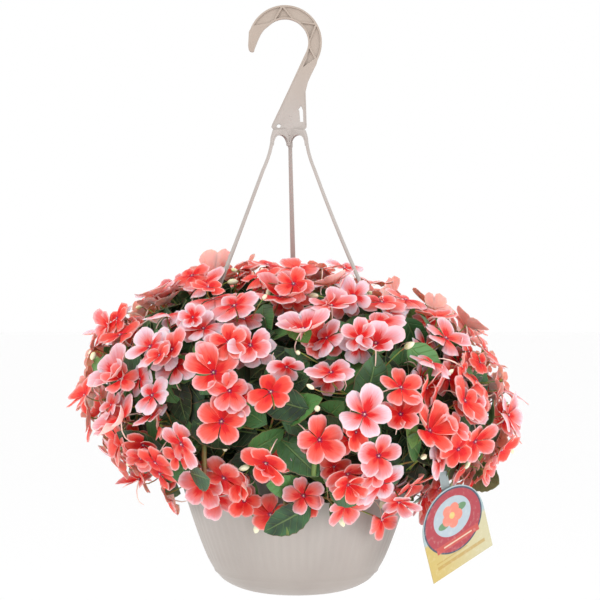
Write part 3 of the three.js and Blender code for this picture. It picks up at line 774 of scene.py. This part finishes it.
random.seed(17)
flower_cards = [flower_card(place, radius) for spray in sprays for place, radius in flowers[spray]]
leaf_cards = [card(place, long, wide) for shoot in shoots for place, long, wide in leaves[shoot]]
centres = [place.translation for spray in sprays for place, _ in flowers[spray]]
taken = list(centres)
extra_flowers = []
for attempt in range(TRIES):
    if len(extra_flowers) == MORE_FLOWERS:
        break
    first = random.choice(centres)
    second, third = sorted(centres, key=lambda spot: (spot - first).length)[1:4:2]
    spot = (first + second + third) / 3
    outward = (spot - HEART).normalized()
    spot = spot + outward * random.uniform(-8, 4) * MM + any_way() * 8 * MM
    if min((spot - other).length for other in taken) < LEAST_ROOM:
        continue
    level = Vector((spot.x, spot.y, 0)).normalized()
    facing = (outward + 0.5 * level + 1.15 * any_way()).normalized()
    across = facing.cross(any_way()).normalized()
    place = basis(across, facing.cross(across), facing, spot)
    radius = random.uniform(19, 26) * MM * (1 if attempt < LARGE_TRIES else 0.8)
    stand_in = flower_card(place, radius)
    if crosses(stand_in, flower_cards + leaf_cards):
        continue
    taken.append(spot)
    flower_cards.append(stand_in)
    extra_flowers.append((place, radius))
lower_layer = mesh_with("tone")
for place, radius in extra_flowers:
    add_flower(lower_layer, small_shapes, place, radius)
piece("petals_lower", lower_layer, [petal_skin], "petals")
print(len(extra_flowers), "more flowers")

# %% [markdown]
# ## Flower stalks, spurs and buds
#
# Behind each flower sits a calyx with a thin spur, on a stalk that bows out from the tip of the shoot, and between
# the flowers stand buds. Stalks are yellow-green with a red flush, spurs nearly white and buds cream green.

# %% Stalk finish
stalk = Finish("flower_stalks")
flush = stalk.noise(70.0, 2.0).step(0.4, 0.65)
green = stalk.mix(flush, (128, 150, 62), (168, 84, 60))
creamy = stalk.mix(stalk.noise(160.0).step(0.45, 0.75), (236, 230, 200), (206, 214, 142))
whitish = stalk.mix(stalk.attribute("pale").step(0.8, 0.95), creamy, (240, 206, 192))
stalk_skin = stalk.surface(
    base_color=stalk.mix(stalk.attribute("pale").step(0.2, 0.7), green, whitish),
    roughness=0.45 + flush * 0.15,
    normal=stalk.bump(stalk.noise(600.0, 2.0), 0.0003),
    subsurface_weight=0.1,
    subsurface_radius=(0.002, 0.002, 0.001),
)
print("stalk finish:", len(stalk.tree.nodes), "nodes")


# %% Tubes
def wall_between(mesh, ring, other):
    for i in range(len(ring)):
        mesh.faces.new((ring[i - 1], ring[i], other[i], other[i - 1]))


def tube(mesh, points, radii, sides=5):
    """A closed tube along a path; its rings turn no more than the path does."""
    side = (points[1] - points[0]).orthogonal()
    turns = [math.tau * k / sides for k in range(sides)]
    rings = []
    for i, point in enumerate(points):
        way = (points[min(i + 1, len(points) - 1)] - points[max(i - 1, 0)]).normalized()
        side = (side - way * side.dot(way)).normalized()
        over = way.cross(side)
        rings.append([mesh.verts.new(point + radii[i] * (side * math.cos(t) + over * math.sin(t))) for t in turns])
    for ring, after in zip(rings, rings[1:]):
        wall_between(mesh, ring, after)
    mesh.faces.new(rings[0][::-1])
    mesh.faces.new(rings[-1])
    return [vert for ring in rings for vert in ring]


def tapered(first, last, count):
    return [first + (last - first) * i / (count - 1) for i in range(count)]


def bowed(mesh, start, pull, end, steps, first, last, sides=5):
    """A tapered tube from `start` to `end`, bowed towards `pull`; its radii at both ends are in millimetres."""
    tube(mesh, bezier(start, pull, end, steps), tapered(first * MM, last * MM, steps + 1), sides)


# %% Stalks of every spray
NECK = mm(0, 0, -4.5)
HUB_MIDDLE = 2.75 * MM
STALK_NEIGHBOURS = 50 * MM  # how near a petal or a leaf has to be for a spur or a bud to meet it
CALYX = ((-2, 1.6), (-2.9, 2.0), (-4, 1.5), (-5.2, 0.8))  # heights behind the flower and radii, mm
SPUR = ((-1, -2.5), (-5, -5), (-10, -9), (-14, -15), (-15, -21), (-13, -26))  # sideways and down, mm
BUD = ((0, 0.3), (0.12, 0.7), (0.35, 1), (0.65, 0.95), (0.88, 0.55), (1, 0.12))  # shares of its length and width
random.seed(21)


def pierces(spots, ovals):
    """Whether a path runs through one of some ovals."""
    pairs = [(a, b - a) for a, b in zip(spots, spots[1:])]
    return any(oval.ray_cast(a, way.normalized(), way.length)[0] for a, way in pairs for oval in ovals)


def ovals_near(spot):
    cards = flower_cards + leaf_cards
    return [oval for middle, oval in cards if (middle - spot).length < STALK_NEIGHBOURS]


def add_spur(mesh, place):
    """The calyx behind a flower, and the spur that curls down from it as far as it has room."""
    calyx = [place @ mm(0, 0, z) for z, _ in CALYX]
    write_marks(mesh, tube(mesh, calyx, [radius * MM for _, radius in CALYX], 6), pale=0.25)
    roll = Matrix.Rotation(random.uniform(-0.5, 0.5), 3, "Z")
    spots = [place @ (roll @ mm(x, 0, z)) for x, z in SPUR]
    ovals = ovals_near(spots[2])
    while len(spots) > 3 and pierces(spots, ovals):
        spots.pop()
    write_marks(mesh, tube(mesh, spots, tapered(1.1 * MM, 0.45 * MM, len(spots)), 4), pale=1)


def add_bud(mesh, hub, place, radius):
    """A bud on its stalk beside a flower, unless it would stand in a petal or a leaf."""
    angle = random.uniform(0, math.tau)
    base = place @ (polar(radius * random.uniform(0.85, 1.1), angle, -9 * MM))
    way = (0.5 * place.col[2].to_3d() + (base - place.translation) * 24 + 0.8 * any_way()).normalized()
    size = random.uniform(2.6, 4.0) * MM
    if pierces([base - way * 8 * MM, base, base + way * 3.4 * size], ovals_near(base)):
        return
    bowed(mesh, hub, base - way * 14 * MM, base, 6, 0.8, 0.6, 4)
    spots = [base + way * size * 3.2 * along for along, _ in BUD]
    write_marks(mesh, tube(mesh, spots, [0.85 * size * width for _, width in BUD], 7), pale=0.75)


for shoot, spray in zip(shoots, sprays):
    _, tip, axis = stems[shoot]
    hub = tip + HUB_MIDDLE * axis
    stalks = mesh_with("pale")
    for place, radius in flowers[spray]:
        neck = place @ NECK
        bowed(stalks, hub, neck - place.col[2].to_3d() * 0.4 * (neck - hub).length, neck, 7, 1.0, 0.75)
        add_spur(stalks, place)
        for _ in range(random.choice((0, 0, 1, 1, 2))):
            add_bud(stalks, hub, place, radius)
    soften(stalks, 70)
    piece(spray.replace("blooms", "stalks"), stalks, [stalk_skin], "foliage", spray)
lower_stalks = mesh_with("pale")
for place, _ in extra_flowers:
    neck = place @ NECK
    start = neck + (HEART - neck).normalized() * 36 * MM
    bowed(lower_stalks, start, neck - place.col[2].to_3d() * 12 * MM, neck, 5, 0.9, 0.7, 4)
    add_spur(lower_stalks, place)
soften(lower_stalks, 70)
piece("stalks_lower", lower_stalks, [stalk_skin], "foliage")
print("stalks made")

# %% [markdown]
# ## Leaves
#
# A leaf is one grid too: pointed at both ends, folded on its midrib, quilted between its side veins, and scalloped
# at its margin by every second row.

# %% One leaf
def leaf_point(u, v, rows, droop):
    """A point of a leaf 1 long and 1 wide; u runs from -1 to 1 across and v from 0 to 1 along."""
    odd = round(v * rows) % 2
    half = 0.5 * math.sin(math.pi * v**0.8) ** 0.75 * (0.95 if odd and abs(u) > 0.9 else 1.02)
    quilt = 0.016 * (1 if odd else -1) * math.sin(math.pi * abs(u)) * math.sin(math.pi * v)
    sweep = 0.05 * abs(u) * math.sin(math.pi * v)
    return Vector((min(1, v + sweep), u * half, 0.1 * half * abs(u) + quilt - droop * v * v))


def make_leaf(columns, rows, droop):
    mesh = mesh_with("back")
    shares = mesh.loops.layers.uv.new("shares")
    for vert in share_grid(mesh, columns, rows, shares):
        vert.co = leaf_point(vert.co.x, vert.co.y / 2 + 0.5, rows, droop)
    bmesh.ops.remove_doubles(mesh, verts=mesh.verts, dist=0.004)
    bmesh.ops.recalc_face_normals(mesh, faces=mesh.faces)
    if sum(face.normal.z for face in mesh.faces) < 0:
        bmesh.ops.reverse_faces(mesh, faces=mesh.faces)
    thicken(mesh, 0.012)
    soften(mesh, 60)
    return data_of(mesh, "leaf")


leaf_shapes = [make_leaf(4, 14, droop) for droop in (0.02, 0.09, 0.16)]
plain_leaves = [make_leaf(2, 8, droop) for droop in (0.06, 0.12, 0.22)]
print("faces of a leaf:", len(leaf_shapes[0].polygons), "and inside", len(plain_leaves[0].polygons))

# %% [markdown]
# The leaf finish draws the midrib and the side veins from the shares, reddens the rim a little and turns young leaves
# yellow-green; the same mark darkens leaves that lie deep in the mound, a painted shade. It pales the undersides,
# partly their own paler green and partly painted light on undersides in shade.

# %% Leaf finish
leaf = Finish("foliage")
across, along = leaf.shares()
aside = ((across - 0.5) * 2).maths("ABSOLUTE")
mottle = leaf.noise(60.0, 4.0)
rows = ((along - aside * 0.16) * 7).maths("FRACT")
side_vein = (rows - 0.5).maths("ABSOLUTE").step(0.4, 0.49)
vein = aside.step(0.09, 0.03).maths("MAXIMUM", side_vein * 0.55)
blade = leaf.ramp(
    # the mark is a leaf's age, lowered on deep inner leaves as a painted shade
    leaf.attribute("age") + (mottle - 0.5) * 0.4,
    (0.0, (16, 38, 20)),
    (0.18, (46, 86, 46)),
    (0.4, (70, 122, 62)),
    (0.7, (98, 148, 72)),
    (1.0, (168, 190, 80)),
)
blade = leaf.layers(
    blade,
    (mottle.step(0.35, 0.75) * 0.3, (56, 106, 60)),
    (vein * 0.26, (150, 180, 104)),
    (aside.step(0.93, 1.0) * 0.45, (138, 84, 60)),  # the rim
    # the paler underside: partly its own paler green, partly painted light for undersides in shade
    (leaf.attribute("back") * 0.6, (138, 164, 116)),
)
leaf_skin = leaf.surface(
    base_color=blade,
    roughness=0.38 + mottle * 0.2,
    normal=leaf.bump(leaf.noise(90.0, 5.0) * 0.6 - vein * 0.8, 0.0012),
    specular_ior_level=0.45,
    subsurface_weight=0.06,
    subsurface_radius=(0.001, 0.002, 0.0005),
)
print("leaf finish:", len(leaf.tree.nodes), "nodes")

# %% [markdown]
# A stem is a tapered tube, flushed red like the flower stalks. A shaped leaf takes each packed one's place, on a
# bowed stalk that starts a little down the stem.

# %% Shoots
stem_finish = Finish("stems")
knots = stem_finish.noise(45.0, 3.0).step(0.35, 0.7)
stem_skin = stem_finish.surface(
    base_color=stem_finish.mix(knots, (92, 118, 52), (138, 74, 52)),
    roughness=0.4 + knots * 0.2,
    normal=stem_finish.bump(stem_finish.noise(500.0, 2.0), 0.0004),
)
random.seed(8)

for shoot in shoots:
    path, tip, axis = stems[shoot]
    green = mesh_with("age")
    for place, long, wide in leaves[shoot]:
        shape = random.choice(leaf_shapes if tip.z > TRAILS_BELOW else leaf_shapes[:1])
        age = random.choice((0.08, 0.2, 0.32, 0.5))
        add_copy(green, shape, place @ Matrix.Diagonal((long, wide, long, 1)), age=age)
    stem_faces = len(green.faces)
    tube(green, path, tapered(2.6 * MM, 2.0 * MM, len(path)), 7)
    for place, long, wide in leaves[shoot]:
        base = place.translation
        way = place.col[0].to_3d()
        aim = base - way * 12 * MM - axis * 8 * MM
        start = min(path[-5:], key=lambda spot: (spot - aim).length)
        bowed(green, start, base - way * 9 * MM, base + way * 2 * MM, 6, 1.2, 0.9)
    green.faces.ensure_lookup_table()
    for face in green.faces[stem_faces:]:
        face.material_index = 1
        face.smooth = True
    piece(shoot.replace("shoot", "greens"), green, [leaf_skin, stem_skin], "foliage", shoot)
print("shoots made")

# %% [markdown]
# The imported model leaves air between its flowers. On the plant that room is full of leaves in shade, so they are
# strewn behind the flowers at eight depths, darker the deeper they lie, a painted shade, each lying nearly across the
# way out of the mound.

# %% Inner leaves
DEPTHS = (8, 12, 22, 32, 40, 50, 60, 72)  # behind the flower, in millimetres
random.seed(14)
inner = mesh_with("age")
strewn = 0
for middle, _ in flower_cards:
    outward = (middle - HEART).normalized()
    for depth in DEPTHS:
        spot = middle - outward * depth * MM + any_way() * 18 * MM
        over = (outward + 0.6 * any_way()).normalized()
        way = over.cross(any_way()).normalized()
        long = random.uniform(32, 44) * MM if depth < 20 else random.uniform(44, 60) * MM
        wide = long * random.uniform(0.6, 0.72)
        lie = basis(way, over.cross(way), over, spot - way * long / 2)
        in_bowl = math.hypot(spot.x, spot.y) < wall_radius(spot.z) + 9 * MM and spot.z < BOWL_TOP + 8 * MM
        ends = [lie @ Vector((share * long, 0, 0)) - HEART for share in (0, 0.5, 1)]
        stands_out = max(end.length for end in ends) > (middle - HEART).length
        if in_bowl or stands_out or crosses(card(lie, long, wide), flower_cards):
            continue
        # the deeper a leaf lies, the lower its mark and the darker its green: a painted shade
        age = max(0, random.choice((0.2, 0.35, 0.5, 0.75)) - depth * 0.011)
        add_copy(inner, random.choice(plain_leaves), lie @ Matrix.Diagonal((long, wide, long, 1)), age=age)
        strewn += 1
piece("inner_leaves", inner, [leaf_skin], "foliage")
print(strewn, "inner leaves")

# %% [markdown]
# ## The hanger
#
# The hanger is one moulding: a hook with a zigzag of ribs between two rims, a plate under it with an eye and an
# arrow-shaped slot, and three arms that clip under the lip. The hook's outline is filled on both sides with its
# pockets left out, the pockets get walls and floors, and every hard edge is broken.

# %% The hook's outline
HOOK_X, HOOK_Z = -12.5, 599.5
HOOK_OUTER, HOOK_INNER = 40.5, 25.5
HOOK_HALF = 3.5  # half its thickness
HEAD_X = -8
HEAD_TOP, HEAD_FOOT = 507, 491


def on_hook(radius, degrees):
    """A point of the hook's face, in millimetres, by its radius and angle from the middle of the hook."""
    turn = math.radians(degrees)
    return (HOOK_X + radius * math.cos(turn), HOOK_Z + radius * math.sin(turn))


def hook_arc(radius, start, end, steps):
    return [on_hook(radius, start + (end - start) * i / steps) for i in range(steps + 1)]


tip_round = [(-46, 592), (-46.4, 589.8), (-48.2, 588.8), (-50.6, 589.4), (-52.3, 591.6), (-52.8, 596), (-52, 611)]
outer_rim = hook_arc(HOOK_OUTER, 160, -28, 40)
shank = [(22.2, 576), (16.6, 565), (12.6, 556), (10.2, 546), (11.4, HEAD_TOP), (8.5, 503.5), (11, HEAD_FOOT + 7)]
foot = [(HEAD_X - 19, HEAD_FOOT + 7), (HEAD_X - 17, 503.5), (HEAD_X - 19.5, HEAD_TOP)]
inner_rim = hook_arc(HOOK_INNER, -22, 132, 32)
inner_end = [(-35.5, 613.5), (-39, 608.5), (-42.5, 601)]
hook_outline = tip_round + outer_rim + shank + foot + inner_rim + inner_end
eye_hole = [(-19.4 + 2.2 * math.cos(k * math.pi / 8), 508 + 2.2 * math.sin(k * math.pi / 8)) for k in range(16)]
arrow_hole = [(5.2, 530.5), (1.9, 525.8), (3.3, 524.6), (4.2, 512.4), (7.6, 512.4), (7.2, 525.5)]

# Between the ribs lie wide pockets along the outer rim and small ones along the inner rim.
RIB_OUTER = (155, 94, 30, -30)  # degrees at which ribs meet the outer rim
RIB_INNER = ((131, 114), (73, 54), (4, -10))  # and the inner rim, for each wide pocket
ROOM_OUTER, ROOM_INNER = HOOK_OUTER - 1.9, HOOK_INNER + 1.8
wide_pockets, small_pockets = [], []
for (start, end), (first, last) in zip(zip(RIB_OUTER, RIB_OUTER[1:]), RIB_INNER):
    rim = hook_arc(ROOM_OUTER, start - 3, end + 3, 10)
    wide_pockets.append(rim + hook_arc(ROOM_INNER, last + 1.5, first - 1.5, 3))
for apex, (_, start), (end, _) in zip(RIB_OUTER[1:3], RIB_INNER, RIB_INNER[1:]):
    small_pockets.append([on_hook(ROOM_OUTER - 0.6, apex)] + hook_arc(ROOM_INNER, end + 2.5, start - 2.5, 6))
small_pockets.append([on_hook(ROOM_OUTER - 1.2, -29), (7, 572), (11.5, 582), on_hook(ROOM_INNER, -14)])
print("hook outline:", len(hook_outline), "points;", len(wide_pockets) + len(small_pockets), "pockets a side")


# %% Fill, hollow and join the hook's two faces
def loop_at(mesh, points):
    """A closed run of edges through points."""
    verts = [mesh.verts.new(point) for point in points]
    return verts, [mesh.edges.new((verts[i - 1], verts[i])) for i in range(len(verts))]


def plate(mesh, *rims):
    """Two rims of as many points, each filled, with a wall between them."""
    rings = []
    for rim in rims:
        verts, edges = loop_at(mesh, rim)
        bmesh.ops.triangle_fill(mesh, use_beauty=True, edges=edges)
        rings.append(verts)
    wall_between(mesh, *rings)
    bmesh.ops.recalc_face_normals(mesh, faces=mesh.faces)


def break_edges(mesh, flat, offset, hard):
    """Joins faces that turn by less than `flat` degrees, then rounds edges that turn by more than `hard`."""
    bmesh.ops.dissolve_limit(mesh, angle_limit=math.radians(flat), verts=mesh.verts, edges=mesh.edges)
    mesh.normal_update()
    edges = [edge for edge in mesh.edges if edge.is_manifold and edge.calc_face_angle(0) > math.radians(hard)]
    rounding = {"offset": offset, "segments": 2, "profile": 0.5, "material": -1, "clamp_overlap": True}
    bmesh.ops.bevel(mesh, geom=edges, affect="EDGES", offset_type="OFFSET", **rounding)


def shrunk(spots, share):
    middle = [sum(spot[axis] for spot in spots) / len(spots) for axis in (0, 1)]
    return [tuple(m + (s - m) * share for s, m in zip(spot, middle)) for spot in spots]


hook = bmesh.new()
through = []
for side in (-1, 1):
    face_y = side * HOOK_HALF
    outlines = (hook_outline, eye_hole, arrow_hole)
    loops = [loop_at(hook, [mm(x, face_y, z) for x, z in spots]) for spots in outlines]
    through.append([verts for verts, _ in loops])
    for pockets, floor_at in ((wide_pockets, 1.7), (small_pockets, 0.9)):
        for spots in pockets:
            rim = loop_at(hook, [mm(x, face_y, z) for x, z in spots])
            low, _ = loop_at(hook, [mm(x, side * floor_at, z) for x, z in shrunk(spots, 0.93)])
            wall_between(hook, rim[0], low)
            hook.faces.new(low)
            loops.append(rim)
    bmesh.ops.triangle_fill(hook, use_beauty=True, edges=[edge for _, edges in loops for edge in edges])
for ring, other in zip(*through):
    wall_between(hook, ring, other)
bmesh.ops.recalc_face_normals(hook, faces=hook.faces)
break_edges(hook, 1, 0.35 * MM, 28)
print("hook faces:", len(hook.faces))

# %% [markdown]
# An arm lies in the upright plane from the head to its place on the rim. Its outline there, with an arch at the
# head and a claw under the lip, becomes a plate that is a little wider towards the rim.

# %% Arms
ARMS = {210: 1, 330: 7, 90: 4}  # azimuth at the rim, and how far the arm bows inwards, in millimetres
HUB_REACH = 20
ARM_HALF = 1.15  # half its thickness


def arm_outline(reach, bow):
    """An arm's side view: points by distance from the head's middle and height, in millimetres."""
    lip_face = reach + 0.3
    start, end = Vector((HUB_REACH - ARM_HALF, HEAD_FOOT + 2)), Vector((lip_face + ARM_HALF, 204))
    middle = start.lerp(end, 0.4) - Vector((2 * bow, 0))
    lean = bezier(start, middle, end, 28)
    shoulder = [Vector((HUB_REACH + 1.4, HEAD_FOOT + 4)), Vector((HUB_REACH + 2.4, HEAD_FOOT - 12)), lean[4]]
    bar = bezier(*shoulder, 6) + lean[5:]
    ways = [(after - before).normalized() for before, after in zip(bar, bar[1:])]
    ways.append(ways[-1])
    across = [Vector((-way.y, way.x)) * ARM_HALF for way in ways]
    outer = [tuple(spot + step) for spot, step in zip(bar, across)]
    inner = [tuple(spot - step) for spot, step in zip(bar, across)]
    claw = [(lip_face + 3, 186.5), (lip_face + 2, 185), (lip_face - 3, 185), (lip_face - 3, 189.7), (lip_face, 189.7)]
    arch = [(19, 495), (16.6, 497.4), (13.2, 498.4), (9.4, 498.2), (6, 496.6), (3.4, 493.6), (1.9, 490), (1.3, 486.5)]
    core = [(-0.9, 486.5), (-1.7, 491), (-1.7, HEAD_TOP - 1), (HUB_REACH, HEAD_TOP - 4)]
    return outer + claw + inner[::-1] + arch + core, arch


def arm_half_width(z):
    """Half an arm's width at a height, in millimetres: it gains 1.5 from the head down to the rim."""
    return 2.1 + 1.5 * min(1, max(0, (HEAD_FOOT - z) / (HEAD_FOOT - 200)))


for azimuth, bow in ARMS.items():
    rim_point = polar(RIM, math.radians(azimuth), 0) - mm(HEAD_X, 0, 0)
    outline_mm, arch = arm_outline(rim_point.length / MM, bow)
    arm = bmesh.new()
    plate(arm, *([mm(x, side * arm_half_width(z), z) for x, z in outline_mm] for side in (-1, 1)))
    break_edges(arm, 0.5, 0.4 * MM, 35)
    for side in (-1, 1):
        bead = [mm(x, side * 2.0, z) for x, z in [(21.6, 486), (20.8, 491), *arch]]
        tube(arm, bead, [0.8 * MM] * len(bead), 6)
    turn = Matrix.Rotation(math.atan2(rim_point.y, rim_point.x), 4, "Z")
    shape = data_of(arm, "arm")
    add_copy(hook, shape, Matrix.Translation(mm(HEAD_X, 0, 0)) @ turn)
    bpy.data.meshes.remove(shape)
for side in (-1, 1):
    for spots in ([(12.4, 588), (-2, 560), (-14, 535), (-26.4, 509)], [(9, 545), (10, 527), (10.4, 509)]):
        line = curve_through([mm(x, side * (HOOK_HALF - 0.1), z) for x, z in spots], 4)
        tube(hook, line, [0.55 * MM] * len(line), 6)
    for z in (515, 518.5):
        mark = Matrix.Translation(mm(-6.5, side * HOOK_HALF, z)) @ Matrix.Diagonal((3, 0.6, 1, 1))
        bmesh.ops.create_icosphere(hook, subdivisions=2, radius=0.6 * MM, matrix=mark)
soften(hook, 40)
hanger_plastic = plastic("hanger_plastic", (171, 164, 159), (158, 149, 143), 9.0, (148, 124, 100), 0.5, 0.6)
piece("hanger_moulding", hook, [hanger_plastic], "hanger_plastic", "hanger")
print("hanger made")

# %% [markdown]
# ## The plant label
#
# A strap of thin sheet comes out of the soil, over the rim and down to a card with a round top, which stands in the
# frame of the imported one.

# %% Label
CARD_WIDTH, CARD_THICK = 86, 0.8
CARD_SIDE = 50  # how long its straight sides are, below the round top
STRAP_WIDTH = 9.5
STRAP_WIDENS = 2.5  # how much wider it is at the card
STRAP_PATH = ((131, 162), (132, 188), (141, 206), (153, 209), (164, 198), (178, 165))
PRINT_SPAN = 100 * MM  # the width of card over which its shares run from 0 to 1

card_way = Vector((0.767, 0.5, 0.395)).normalized()
card_face = card_way.cross(Vector((-0.235, -0.36, 0.91))).normalized()
card_frame = basis(card_way, card_face.cross(card_way), card_face, mm(166, -92, 83))
half_card = CARD_WIDTH / 2
round_top = [(half_card * math.cos(t), half_card * math.sin(t)) for t in (math.pi * i / 36 for i in range(37))]
card_outline = [(-half_card, -CARD_SIDE), (half_card, -CARD_SIDE), *round_top]

label = bmesh.new()
shares = label.loops.layers.uv.new("shares")
plate(label, *([mm(x, y, side * CARD_THICK / 2) for x, y in card_outline] for side in (-1, 1)))
write_shares(label.faces, shares, PRINT_SPAN)
label.transform(card_frame)

card_top = card_frame @ mm(0, 40, 0)
strap_azimuth = math.atan2(card_top.y, card_top.x)
strap_path = [polar(r * MM, strap_azimuth, z * MM) for r, z in STRAP_PATH] + [card_frame @ mm(0, 31, 0)]
centre_line = curve_through(strap_path, 5)
along_rim = polar(1, strap_azimuth + math.pi / 2, 0)
rows = []
for i, spot in enumerate(centre_line):
    share = i / (len(centre_line) - 1)
    aside = along_rim.lerp(card_way, share).normalized() * (STRAP_WIDTH + STRAP_WIDENS * share) / 2 * MM
    rows.append([label.verts.new(spot + side * aside) for side in (-1, -0.5, 0, 0.5, 1)])
strap = []
for row, after in zip(rows, rows[1:]):
    strap += [label.faces.new((row[i], row[i + 1], after[i + 1], after[i])) for i in range(4)]
bmesh.ops.solidify(label, geom=strap, thickness=CARD_THICK * MM)
soften(label, 30)
print("label faces:", len(label.faces))

# %% [markdown]
# Its print is drawn by sums on the card's own millimetres: a yellow sheet that pales to one side, and a crimson disc
# in a navy ring, with a flower on an oval between two leaves, over a short band. The strap has no coordinates, so it
# reads as a point beyond the card's left edge.

# %% Label print
printed = Finish("label_print")
across, up = ((share - 0.5) * 100 for share in printed.shares())


def blot(centre_x, centre_y, radius, soft=0.8, flat=1.0):
    """1 inside a disc of the print and 0 outside."""
    x, y = across - centre_x, (up - centre_y) * flat
    return (x * x + y * y).maths("SQRT").step(radius + soft / 2, radius - soft / 2)


def band(low, high, left=-40.0, right=40.0):
    """1 inside a level band of the print and 0 outside."""
    level = up.step(low, low + 0.8) * up.step(high + 0.8, high)
    return level * across.step(left, left + 0.8) * across.step(right + 0.8, right)


yellow, white, brown = (180, 158, 88), (182, 176, 142), (164, 130, 56)
ink = printed.noise(220.0, 2.0)
leaf_pair = [(blot(side * 13, 10 + side * 5, 8, flat=1.9), (89, 126, 89)) for side in (-1, 1)]
fifths = [math.radians(54 + 72 * k) for k in range(5)]
petal_five = [(blot(8 * math.cos(t), 11 + 8 * math.sin(t), 6.4), (210, 119, 100)) for t in fifths]
sheet = printed.layers(
    printed.mix(across.step(-45, 45), yellow, white),
    (band(-40, -36, -34, 34) * 0.7, brown),
    (band(-33, -31.5, -34, 10) * 0.6, brown),
    (up.step(-8, -2), (147, 167, 171)),  # the pale rim
    (blot(0, 5, 40.5, flat=1.12), (48, 58, 78)),
    (blot(0, 5, 38.5, flat=1.12), (153, 43, 56)),
    (blot(0, 10, 26, flat=1.2), (158, 171, 179)),
    *leaf_pair,
    *petal_five,
    (blot(0, 11, 3.6), (199, 177, 102)),
    (band(-23, -15, -30, 30), (173, 65, 58)),
    (band(-20, -18.4, -20, 20) * 0.8, (210, 193, 167)),
    (across.step(-47, -48), (182, 196, 198)),  # the strap
    (ink.step(0.5, 0.8) * 0.12, (228, 223, 209)),
)
label_card = printed.surface(
    base_color=sheet,
    roughness=0.28 + ink * 0.14,
    normal=printed.bump(ink, 0.0002),
    coat_weight=0.15,
)
piece("label_card", label, [label_card], "label_card", "label")
print("label finish:", len(printed.tree.nodes), "nodes")

# %% [markdown]
# ## Room and finish
#
# The basket hangs, so the floor is far below it.

# %% Floor
FLOOR_DROP = Matrix.Translation((0, 0, -0.9))
floor_mesh = bmesh.new()
bmesh.ops.create_grid(floor_mesh, x_segments=1, y_segments=1, size=30, matrix=FLOOR_DROP)
floor = in_scene("floor", data_of(floor_mesh, "floor"))
paint = Finish("floor_paint")
floor.data.materials.append(paint.surface(base_color=colour(253, 253, 253), roughness=0.9))
